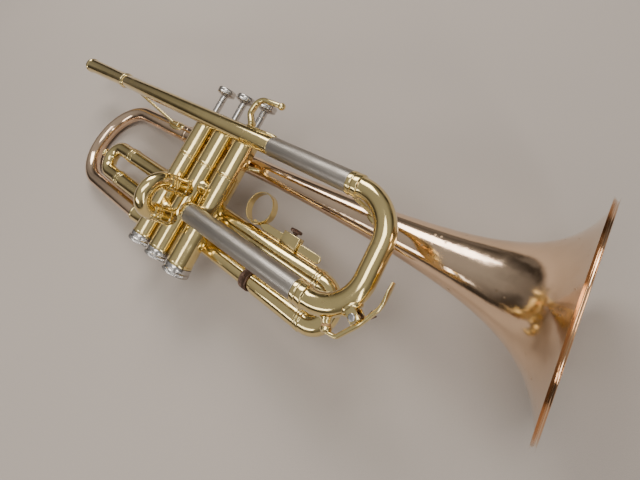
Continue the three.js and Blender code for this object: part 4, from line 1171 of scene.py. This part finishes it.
@dataclass
class TuningSlide(Assembly):
    """The main tuning slide with its water key."""

    def build(self) -> None:
        """Adds the group's pieces."""
        start, end = vec(TUNING_X, LEAD_Y, LEAD_Z), vec(TUNING_X, LEAD_Y, LOWER_Z)
        path = crook_path(start, end, FORWARD, FERRULE_L + TUNING_BEND, TUNING_BEND)
        skin = crook(path, CROOK_R, INNER_BORE - 0.1, FERRULE_L, FERRULE_R)
        body = Body.TUNING
        self.show("tuning_crook", skin, BRASS, body)
        for name, z in (("upper", LEAD_Z), ("lower", LOWER_Z)):
            leg = level(82, TUNING_X + 5, LEAD_Y, z)
            node = f"tuning_{name}_leg"
            self.show(node, pipe(leg, INNER_R, INNER_BORE), BRIGHT, body)
        self.centre = vec(TUNING_X + FERRULE_L, LEAD_Y, LOWER_Z + TUNING_BEND)
        self.rim = TUNING_BEND + CROOK_R
        self.hinge_r = self.rim + 3.6
        self.nipple()
        self.hinge(path)
        self.lever()

    def polar(self, degrees: float, radius: float) -> Vector:
        """A point at an angle round the crook's centre."""
        a = math.radians(degrees)
        return self.centre + vec(radius * math.cos(a), 0, radius * math.sin(a))

    def radial(self, degrees: float, low: float, high: float) -> Path:
        """A straight path outwards at an angle round the crook's centre."""
        return Path.line(self.polar(degrees, low), self.polar(degrees, high))

    def nipple(self) -> None:
        """The drain's short chimney."""
        route = self.radial(DRAIN_ANGLE, self.rim - 0.6, self.rim + 2.6)
        outside = [(0.0, 3.9), (0.9, 3.3), (1.6, 3.0), (3.2, 2.6)]
        skin = tube(route, outside, [(0.0, 1.2), (3.2, 1.2)], MEDIUM, edge=0.3)
        self.add("drain_nipple", skin, BRASS, Body.TUNING)

    def hinge(self, crook: Path) -> None:
        """The saddle, its two posts and the screw that the lever turns on."""
        out = self.polar(HINGE_ANGLE, 1) - self.centre
        way = vec(-out.z, 0, out.x)
        middle = crook.length - FERRULE_L - TUNING_BEND * math.radians(90 + HINGE_ANGLE)
        base = leaf(crook, CROOK_R, middle, out, 13, 13, 1.2)
        self.add("key_saddle", base, BRASS, Body.TUNING)
        for side in (-1, 1):
            low, high = self.rim - 1.2, self.hinge_r + 2.4
            centre = self.polar(HINGE_ANGLE, (low + high) / 2) + LEFT * (side * 4.5)
            name = f"key_post_{'left' if side > 0 else 'right'}"
            size = (high - low, 1.4, 6.0)
            self.shop.block(name, centre, (out, LEFT, way), size, BRASS, Body.TUNING, 0.55)
        hinge = self.polar(HINGE_ANGLE, self.hinge_r)
        pin = Path.line(hinge + RIGHT * 7.2, hinge + LEFT * 6.4)
        stations = [(0.0, 1.6), (0.3, 2.0), (1.3, 2.0), (1.5, 0.9), (13.6, 0.9)]
        skin = rod(pin, stations, SMALL, edge=0.2)
        self.shop.piece("key_screw", skin, STEEL, Body.TUNING, ["water_key_pin"])
        self.spring(hinge, out, way)

    def spring(self, hinge: Vector, out: Vector, way: Vector) -> None:
        """The wire spring wound round the hinge, with one end on the lever and one on the crook."""
        points = [hinge + out * (3.4 - 1.3 * t) + way * (9 - 9 * t) + LEFT * 2.6 for t in (0, 0.4, 0.8)]
        for k in range(2 * COIL_STEPS + 1):
            a = 2 * math.pi * k / COIL_STEPS
            y = 2.7 + 0.9 * k / (2 * COIL_STEPS)
            points.append(hinge + out * (2.5 * math.cos(a)) + way * (2.5 * math.sin(a)) + LEFT * y)
        tail = points[-1] + way * 8 - out * 2.5
        points += [points[-1].lerp(tail, t) for t in (0.25, 0.5, 0.75, 1.0)]
        path = Path.through(points)
        skin = rod(path, [(0, 0.42), (path.length, 0.42)], 8, edge=0.1)
        self.add("key_spring", skin, DARK, Body.TUNING)

    def lever(self) -> None:
        """The lever from the cork's cup over the hinge to the finger's spatula."""
        hinge = self.polar(HINGE_ANGLE, self.hinge_r)
        barrel = Path.line(hinge + RIGHT * 3.4, hinge + LEFT * 2.0)
        skin = tube(barrel, [(0, 2.1), (5.4, 2.1)], [(0, 1.2), (5.4, 1.2)], MEDIUM)
        self.add("key_barrel", skin, BRASS, Body.KEY)
        corners = [
            self.polar(DRAIN_ANGLE, self.rim + 6.3),
            self.polar(DRAIN_ANGLE + 8, self.rim + 8.9),
            self.polar(HINGE_ANGLE, self.hinge_r + 3.2),
            self.polar((HINGE_ANGLE + TIP_ANGLE) / 2, self.hinge_r + 4.2),
            self.polar(TIP_ANGLE, self.hinge_r + 4.2),
        ]
        path = Path.bent(corners, [3, 12, 14])
        end = path.length
        stations = [
            (0.0, 2.2, 1.1), (4.0, 1.6, 1.2), (end * 0.36, 2.2, 1.4), (end * 0.5, 1.6, 1.2),
            (end * 0.75, 1.6, 1.1), (end * 0.9, 2.9, 0.9), (end, 2.4, 0.7),
        ]
        skin = ribbon(path, stations, LEFT, 2.6, 32)
        self.shop.piece("key_lever", skin, BRASS, Body.KEY, ["water_key_lever"])
        seat_r = self.rim + 2.9
        cup = self.radial(DRAIN_ANGLE, seat_r + 0.9, seat_r + 4)
        stations = [(0.0, 2.9), (0.3, 3.2), (1.9, 3.2), (2.7, 2.6), (3.1, 1.6)]
        self.add("key_cup", rod(cup, stations, MEDIUM), BRASS, Body.KEY)
        cork = self.radial(DRAIN_ANGLE, seat_r - 0.25, seat_r + 1)
        self.add("key_cork", rod(cork, [(0, 2.5), (1.2, 2.6)], MEDIUM), CORK, Body.KEY)


@dataclass
class SideSlides(Assembly):
    """The first and the second valve's slides, with the sleeves that they run in."""

    def sleeve(self, name: str, valve_x: float, way: Vector, z: float, length: float) -> None:
        """A fixed sleeve from a valve's side, with a collar and a solder line."""
        path = Path.line(vec(valve_x, 0, z), vec(valve_x, 0, z) + way * length)
        near = SEAT_R
        outside = swell(
            SLEEVE_R, (near, 0.9), (near + 0.7, 0.35), (near + 1.3, 0.1), (near + 2.0, 0.55),
            (near + 3.6, 0.55), (near + 4.2, 0.0), (length - 1.8, 0.0), (length - 1.5, 0.2),
            (length, 0.2),
        )
        bore = [(near, SLEEVE_BORE), (length, SLEEVE_BORE)]
        onto = seat(path, valve_x, near - 0.3, near + 1.35)
        self.show(name, tube(path, outside, bore, tweak=onto, edge=0.2), BRASS)

    def build(self) -> None:
        """Adds the group's pieces."""
        for side, z in (("upper", FIRST_Z[0]), ("lower", FIRST_Z[1])):
            name = f"first_slide_{side}_sleeve"
            self.sleeve(name, -PITCH, BACKWARD, z, -FIRST_END_X - PITCH)
        for side, z in (("upper", SECOND_Z[0]), ("lower", SECOND_Z[1])):
            self.sleeve(f"second_slide_{side}_sleeve", 0, RIGHT, z, -SECOND_END_Y)
        self.first()
        self.second()

    def legs(self, name: str, corner: Vector, way: Vector, length: float, body: Body) -> None:
        """An inner leg that slides in a sleeve."""
        leg = Path.line(corner - way * 5, corner + way * length)
        self.add(name, pipe(leg, LEG_R, LEG_BORE), BRIGHT, body)

    def first(self) -> None:
        """The first slide's crook with its pull knob."""
        start = FIRST_END_X - FIT_GAP
        half = (FIRST_Z[0] - FIRST_Z[1]) / 2
        ends = [vec(start, 0, z) for z in FIRST_Z]
        path = crook_path(ends[0], ends[1], BACKWARD, start - FIRST_CROOK_X + half)
        skin = crook(path, SLEEVE_R - 0.2, LEG_BORE, 7.0, SLEEVE_R + 0.3)
        self.show("first_slide", skin, BRASS, Body.FIRST)
        for side, z in zip(("upper", "lower"), FIRST_Z):
            self.legs(f"first_{side}_leg", vec(start, 0, z), FORWARD, 40, Body.FIRST)
        knob_x = FIRST_CROOK_X - half - SLEEVE_R
        z = sum(FIRST_Z) / 2
        knob = level(knob_x + 0.4, knob_x - 9, 0, z)
        stations = [(0, 3.4), (0.5, 2.9), (1.6, 2.6), (2.2, 1.5), (3.8, 1.5), (4.4, 3.0)]
        stations += [(5.2, 3.8), (6.2, 3.9), (7.6, 3.3), (8.6, 1.9), (9.2, 0.6)]
        skin = rod(knob, stations, MEDIUM, edge=0.4)
        self.show("first_knob", skin, BRASS, Body.FIRST, node="first_slide_knob")

    def second(self) -> None:
        """The second slide's short crook."""
        start = SECOND_END_Y - FIT_GAP
        half = (SECOND_Z[0] - SECOND_Z[1]) / 2
        ends = [vec(0, start, z) for z in SECOND_Z]
        path = crook_path(ends[0], ends[1], RIGHT, start - SECOND_CROOK_Y + half)
        skin = crook(path, SLEEVE_R - 0.4, LEG_BORE, 6.0, SLEEVE_R + 0.2)
        self.show("second_slide", skin, BRASS, Body.SECOND)
        for side, z in zip(("upper", "lower"), SECOND_Z):
            self.legs(f"second_{side}_leg", vec(0, start, z), LEFT, 11, Body.SECOND)


@dataclass
class ThirdSlide(Assembly):
    """The third valve's slide, its stop nut and its adjustable finger ring."""

    def build(self) -> None:
        """Adds the group's pieces."""
        for i, side in enumerate(("upper", "lower")):
            self.inner(i, side)
            self.outer(i, side)
        half = (THIRD_Z[0] - THIRD_Z[1]) / 2
        ends = [vec(THIRD_END_X + FIT_GAP, THIRD_Y, z) for z in THIRD_Z]
        path = crook_path(ends[0], ends[1], FORWARD, 4 + half)
        skin = crook(path, OUTER_R - 0.3, OUTER_BORE - 0.3, 4.0, OUTER_R + 0.3)
        self.show("third_crook", skin, BRASS, Body.THIRD, node="third_slide_crook")
        self.nut()
        self.ring()
        self.holder()

    def inner(self, i: int, side: str) -> None:
        """The fixed tube that turns out of the valve and runs inside the slide."""
        z = THIRD_Z[i]
        corners = [
            vec(PITCH - 6, 0, z),
            vec(PITCH - 1, THIRD_Y, z),
            vec(THIRD_END_X - 6, THIRD_Y, z),
        ]
        path = Path.bent(corners, KNUCKLE_R)
        end = path.length
        joint = end - (THIRD_END_X - 6 - THIRD_OUTER_X[i]) - 0.3
        bulk = OUTER_R if i == 0 else INNER_R
        start = 8.6
        outside = [
            (start, bulk), (joint - 0.2, bulk), (joint, INNER_R), (end, INNER_R),
        ]
        bore = [(start, INNER_BORE), (end, INNER_BORE)]
        onto = seat(path, PITCH, start - 0.1, start + 0.3)
        name = f"third_slide_{side}_inner"
        self.show(name, tube(path, outside, bore, tweak=onto, edge=0.2), BRASS)

    def outer(self, i: int, side: str) -> None:
        """The outer tube that slides over the fixed one."""
        z = THIRD_Z[i]
        path = level(THIRD_OUTER_X[i], THIRD_END_X, THIRD_Y, z)
        end = path.length
        outside = [
            (0.0, OUTER_R - 0.1), (0.2, OUTER_R), (end, OUTER_R),
        ]
        name = f"third_slide_{side}_outer"
        skin = tube(path, outside, [(0, OUTER_BORE), (end, OUTER_BORE)])
        self.show(name, skin, BRASS, Body.THIRD)

    def nut(self) -> None:
        """The knurled nut that stops the slide."""
        start = THIRD_OUTER_X[1] - 11
        path = level(start, start + 7, THIRD_Y, THIRD_Z[1])
        outside = [(0, 6.8), (0.5, 7.4), (0.8, 7.4), (3.1, 7.4), (3.3, 7.0), (3.7, 7.0)]
        outside += [(3.9, 7.4), (6.2, 7.4), (6.5, 7.4), (7, 6.8)]
        ridges = knurl(path, 0.75, 6.25, 42, 0.36)
        skin = tube(path, outside, [(0, 6.3), (7, 6.3)], 168, ridges, 0.15)
        self.show("stop_nut", skin, DARK, node="third_slide_stop")

    def ring(self) -> None:
        """The ring, one flat strap coiled so that its ends overlap, and its upright plate."""
        middle = RING_R - STRAP_T / 2
        points = []
        for k in range(91):
            share = k / 90
            a = math.radians(-62 - 400 * share)
            near = max(0.0, (share - 0.8) / 0.2)
            radius = middle - 1.05 * min(near * 1.6, 1.0)
            points.append(vec(RING_X + radius * math.cos(a), THIRD_Y, RING_Z + radius * math.sin(a)))
        path = Path.through(points)
        half = STRAP_W / 2
        skin = ribbon(path, [(0, half, 0.46), (path.length, half, 0.46)], LEFT, 6.0, 28)
        self.show("finger_ring", skin, BRASS, Body.RING)
        height = (PLATE_Z[1] - PLATE_Z[0]) / 2
        z = sum(PLATE_Z) / 2
        plate = level(RING_X - 1, BAR_END_X, THIRD_Y, z)
        low, end = height - 1.9, plate.length
        stations = [(0, 0.8, PLATE_T / 2), (5, low, PLATE_T / 2), (12, height, PLATE_T / 2)]
        stations += [(end - 3, height, PLATE_T / 2), (end - 1, height * 0.8, PLATE_T / 2)]
        stations.append((end, height * 0.45, PLATE_T / 2))
        self.add("ring_plate", ribbon(plate, stations, UP, 9.0), BRASS, Body.RING)

    def holder(self) -> None:
        """The upside-down U that clamps the ring's plate, with the thumb screw."""
        axes = (FORWARD, LEFT, UP)
        body = Body.THIRD
        top = PLATE_Z[1] + 2.9
        foot = THIRD_Z[0] + OUTER_R - 0.5
        wall = 1.9
        for name, side in (("left", 1), ("right", -1)):
            y = THIRD_Y + side * (PLATE_T / 2 + 0.3 + wall / 2)
            centre = vec(HOLDER_X, y, (top + foot) / 2)
            self.shop.block(f"holder_{name}", centre, axes, (HOLDER_L, wall, top - foot), BRASS, body)
        roof = vec(HOLDER_X, THIRD_Y, top - 1.2)
        size = (HOLDER_L, PLATE_T + 0.6 + 2 * wall - 0.5, 2.4)
        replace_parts(self.shop.block("holder_roof", roof, axes, size, BRASS, body), "ring_holder")
        low = PLATE_Z[1] + 0.3
        screw = Path.line(vec(HOLDER_X, THIRD_Y, low), vec(HOLDER_X, THIRD_Y, low + 7))
        stations = [
            (0.0, 1.0), (0.3, 1.2), (3.1, 1.2), (3.3, 2.0), (4.1, 2.0), (4.3, 3.7), (4.6, 4.2),
            (4.8, 4.2), (5.9, 4.2), (6.1, 4.2), (6.5, 3.6), (6.5, 1.8), (6.2, 1.4),
        ]
        ridges = knurl(screw, 4.75, 5.95, 30, 0.3)
        self.show("ring_screw", rod(screw, stations, 120, ridges, 0.12), DARK, Body.SCREW)


@dataclass
class Bell(Assembly):
    """The bell with its bow, and the braces that hold it."""

    def __post_init__(self) -> None:
        """Finds the bell's axis."""
        self.axis = Path.line(Vector(BELL_REAR), Vector(BELL_RIM))

    def radius(self, behind: float) -> float:
        """The bell's outer radius at a distance behind its rim."""
        horn = BELL_RIM_R * (1 + behind / BELL_FLARE_L) ** -BELL_FLARE_POWER
        return max(horn, BELL_STEM_R)

    def along(self, x: float) -> float:
        """The distance along the axis of a place along the playing frame."""
        return (x - BELL_REAR[0]) * self.axis.length / (BELL_RIM[0] - BELL_REAR[0])

    def build(self) -> None:
        """Adds the group's pieces."""
        self.flare()
        self.bow()
        self.long_brace("rear_brace", -128, LEAD_REAR_R, -82, 1.5, 1.0)
        self.long_brace("front_brace", 118, OUTER_R, 142, 1.7, 0.6)
        self.strut()

    def flare(self) -> None:
        """The bell from its seam to its rolled rim."""
        end = self.axis.length
        split = self.along(BELL_SPLIT_X)
        marks = [float(d) for d in np.geomspace(0.6, 200, 46)]
        inside = []
        for d in marks:
            slope = math.atan((self.radius(d - 0.1) - self.radius(d + 0.1)) / 0.2)
            s = end - d + BELL_WALL * math.sin(slope)
            inside.append((s, self.radius(d) - BELL_WALL * math.cos(slope)))
        skin = [(end - d, self.radius(d)) for d in reversed(marks)]
        outer = [(s, r) for s, r in skin if r < BELL_RIM_R - 2.9]
        inner = [(s, r) for s, r in inside if r < BELL_RIM_R - 3.4]
        back = BELL_STEM_R - BELL_WALL
        loop = [(split, BELL_STEM_R), *outer, *self.bead(end), *inner, (split, back)]
        self.show("bell", turned(self.axis, loop, 144), ROSE)
        ring = Path.line(*(self.axis.locate(split + d)[0] for d in (-1.6, 1.6)))
        size = BELL_STEM_R
        band = [(0.0, size), (0.4, size + 0.35), (2.8, size + 0.35), (3.2, size)]
        skin = tube(ring, band, [(0, size - 0.3), (3.2, size - 0.3)], edge=0.2)
        self.add("bell_seam_ring", skin, ROSE)

    def bead(self, end: float) -> list[tuple[float, float]]:
        """The rolled rim's outline, from behind it round its edge to its mouth."""
        centre_s, centre_r, size = end - 1.4, BELL_RIM_R - 1.52, 1.36
        angles = np.linspace(math.radians(-150), math.radians(-395), 15)
        return [(centre_s + size * math.cos(a), centre_r - size * math.sin(a)) for a in angles]

    def bow(self) -> None:
        """The bow from the bell's stem round to the first valve, and its ferrule."""
        rise = math.hypot(BELL_REAR[1] - TAIL_Y, BELL_REAR[2] - TAIL_Z) / 2
        back = Vector(BELL_REAR) + BACKWARD * rise
        corners = [
            self.axis.locate(self.along(BELL_SPLIT_X) - 0.3)[0],
            back,
            vec(back.x, TAIL_Y, TAIL_Z),
            vec(-PITCH, TAIL_Y, TAIL_Z),
        ]
        path = Path.bent(corners, rise - 1)
        joint = path.length - CASING_R - 16
        outside = [(0, BELL_STEM_R - 0.1), (joint, TAIL_R)]
        bore = [(0, BELL_STEM_R - BELL_WALL), (joint, TAIL_R - BELL_WALL)]
        self.show("bow", tube(path, outside, bore, WIDE), ROSE, node="bell_bow")
        end = path.length - CASING_R + 1.2
        outside = swell(
            TAIL_R, (joint - 5, 0.3), (joint - 4.8, 1.1), (joint - 3.2, 1.1), (joint - 2.8, 0.75),
            (joint - 2.0, 0.75), (joint - 1.6, 1.0), (joint, 0.8), (end - 2.6, 0.45),
            (end - 1.0, 0.7), (end, 1.2),
        )
        bore = [(joint - 5, TAIL_R + 0.02), (joint, TAIL_R + 0.02), (joint + 0.1, 5.6), (end, 5.6)]
        onto = seat(path, -PITCH, end - 0.2, end + 0.2)
        skin = tube(path, outside, bore, tweak=onto, edge=0.15)
        self.show("bell_ferrule", skin, BRASS)

    def long_brace(
        self, name: str, lead_x: float, lead_r: float, bell_x: float, thick: float, lean: float
    ) -> None:
        """A bent bar from the leadpipe's side to the bell's, with a leaf on each."""
        at = self.along(bell_x)
        bell_r = self.radius(self.axis.length - at)
        bell_point = self.axis.locate(at)[0]
        across = vec(0, bell_point.y - LEAD_Y, (bell_point.z - LEAD_Z) * lean).normalized()
        a = vec(lead_x, LEAD_Y, LEAD_Z) + across * (lead_r + 0.1 + thick)
        b = bell_point - across * (bell_r + 0.1 + thick)
        run = math.copysign(9, bell_x - lead_x)
        path = Path.bent([a - FORWARD * run, a, b, b + FORWARD * run], 8)
        end = path.length
        middle = thick * 0.85
        stations = [(0, thick * 1.3, thick * 0.9), (9, thick, thick), (end / 2, middle, middle)]
        stations += [(end - 9, thick, thick), (end, thick * 1.4, thick * 0.8)]
        bar = ribbon(path, stations, UP, 2.3)
        self.show(name, bar, BRASS)
        lead = level(-230, 200, LEAD_Y, LEAD_Z)
        foot = leaf(lead, lead_r + 0.05, lead_x - run / 2 + 230, across, 17, 7.5, 1.0, 0.8)
        self.add(name + "_lead_leaf", foot, BRASS)
        foot = leaf(self.axis, bell_r, at + run / 2, -across, 22, 10.5, 1.1, 0.8)
        self.add(name + "_bell_leaf", foot, BRASS)

    def strut(self) -> None:
        """The strut from the third valve up to the bell."""
        target = self.axis.locate(self.along(42))[0]
        start = vec(PITCH, 0, 88)
        way = (target - start).normalized()
        path = Path.line(start + way * (CASING_R - 0.6), target - way * (BELL_STEM_R - 0.6))
        end = path.length
        stations = [(0, 3.4), (1.0, 2.4), (2.2, 1.8), (end / 2, 1.6), (end - 2.2, 1.8), (end - 1, 2.4)]
        self.show("valve_brace", rod(path, [*stations, (end, 3.2)], SMALL, edge=0.3), BRASS)


@dataclass
class Bridges(Assembly):
    """The short tubes between the casings."""

    def build(self) -> None:
        """Adds the group's pieces."""
        for first, z in ((1, 33.0), (2, 62.0)):
            left, right = (first - 2) * PITCH, (first - 1) * PITCH
            path = level(left + CASING_R, right - CASING_R, 0, z)
            end = path.length
            outside = [(0, 6.6), (0.6, 6.1), (end - 0.6, 6.1), (end, 6.6)]
            near = seat(path, left, -0.1, 0.3)
            far = seat(path, right, end - 0.3, end + 0.1)

            def both(at: Vector, s: float, r: float, a: float, near=near, far=far) -> Vector:
                return far(near(at, s, r, a), s, r, a)

            name = f"casing_bridge_{first}_{first + 1}"
            skin = tube(path, outside, [(0, 5.4), (end, 5.4)], tweak=both, edge=0.1)
            self.show(name, skin, BRASS)


def softbox(name: str, place: Triple, size: tuple[float, float], power: float, color: Triple) -> None:
    """An area light that faces the middle of the scene."""
    lamp = bpy.data.lights.new(name, "AREA")
    lamp.shape = "RECTANGLE"
    lamp.size, lamp.size_y = size
    lamp.energy = power
    lamp.color = color
    made = placed(name, lamp)
    made.location = place
    made.rotation_euler = (-Vector(place)).to_track_quat("-Z", "Y").to_euler()


def lights() -> None:
    """A window, a ceiling and two strips for the metal to mirror."""
    day, lamp = (1.0, 0.97, 0.93), (1.0, 0.98, 0.95)
    softbox("Window", (-0.55, 0.75, 1.0), (0.8, 0.5), 11.0, day)
    softbox("Overhead", (0.2, -0.1, 1.3), (0.9, 0.5), 6.5, lamp)
    softbox("Strip", (0.95, -0.6, 0.5), (0.12, 0.9), 2.5, lamp)
    softbox("Front", (-0.25, -1.1, 0.6), (0.9, 0.2), 3.5, day)


def sky() -> None:
    """A dim room all round: pale above, with darker patches for the metal to mirror."""
    world = bpy.context.scene.world or bpy.data.worlds.new("Room")
    bpy.context.scene.world = world
    world.use_nodes = True
    graph = Graph(world.node_tree)
    where = graph.node("ShaderNodeTexCoord", out="Generated")
    high = graph.node("ShaderNodeSeparateXYZ", {}, {0: where}, out=2)
    patches = graph.noise(where, 2.6, 1.0).above(0.42, 0.6)
    low, mid, top = rgba((0.08, 0.07, 0.06)), rgba((0.3, 0.28, 0.26)), rgba((0.7, 0.69, 0.67))
    wall = graph.blend(patches, low, mid)
    color = graph.blend(high.above(0.15, 0.75), wall, top)
    background = graph.node("ShaderNodeBackground", {}, {"Color": color, "Strength": 0.6})
    graph.node("ShaderNodeOutputWorld", {}, {"Surface": background})


# The camera, in the playing frame: its place in millimetres and its axes.
CAMERA_AT = vec(251.59, -234.52, 86.75)
CAMERA_RIGHT = vec(0.73228, 0.49368, 0.46909)
CAMERA_FORWARD = vec(-0.62342, 0.76318, 0.17)
CAMERA_LENS = 23.76
CAMERA_SHIFT = (0.03125, -0.1875)


def camera(playing: Playing) -> None:
    """The camera, low in front of the bell."""
    lens = bpy.data.cameras.new("Camera")
    lens.sensor_width = 36.0
    lens.lens = CAMERA_LENS
    lens.shift_x, lens.shift_y = CAMERA_SHIFT
    lens.clip_start, lens.clip_end = 0.01, 50.0
    made = placed("Camera", lens)
    right = playing.turn(CAMERA_RIGHT).normalized()
    ahead = playing.turn(CAMERA_FORWARD)
    ahead = (ahead - right * ahead.dot(right)).normalized()
    axes = Matrix((right, right.cross(ahead), -ahead)).transposed()
    made.matrix_world = Matrix.Translation(playing.row(CAMERA_AT)) @ axes.to_4x4()
    bpy.context.scene.camera = made


def floor() -> None:
    """The cloth under the trumpet."""
    reach = 6.0
    mesh = bpy.data.meshes.new("cloth_floor")
    corners = [(-reach, -reach, 0), (reach, -reach, 0), (reach, reach, 0), (-reach, reach, 0)]
    mesh.from_pydata(corners, [], [(0, 1, 2, 3)])
    mesh.uv_layers.new(name="along_and_around")
    mesh.materials.append(CLOTH.material())
    made = placed("cloth_floor", mesh)
    made.location.z = -0.0002


def main() -> None:
    """Builds the trumpet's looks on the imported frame."""
    logging.basicConfig(level=logging.INFO, format="%(name)s %(message)s")
    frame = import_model()
    playing = Playing(frame)
    shop = Workshop(playing)
    groups: list[Assembly] = [Valve(shop, number) for number in (1, 2, 3)]
    groups += [Bridges(shop), Leadpipe(shop), TuningSlide(shop), SideSlides(shop)]
    groups += [ThirdSlide(shop), Bell(shop)]
    for group in groups:
        group.build()
    LOG.info("%d pieces", shop.made)
    floor()
    sky()
    lights()
    camera(playing)


if __name__ == "__main__":
    main()
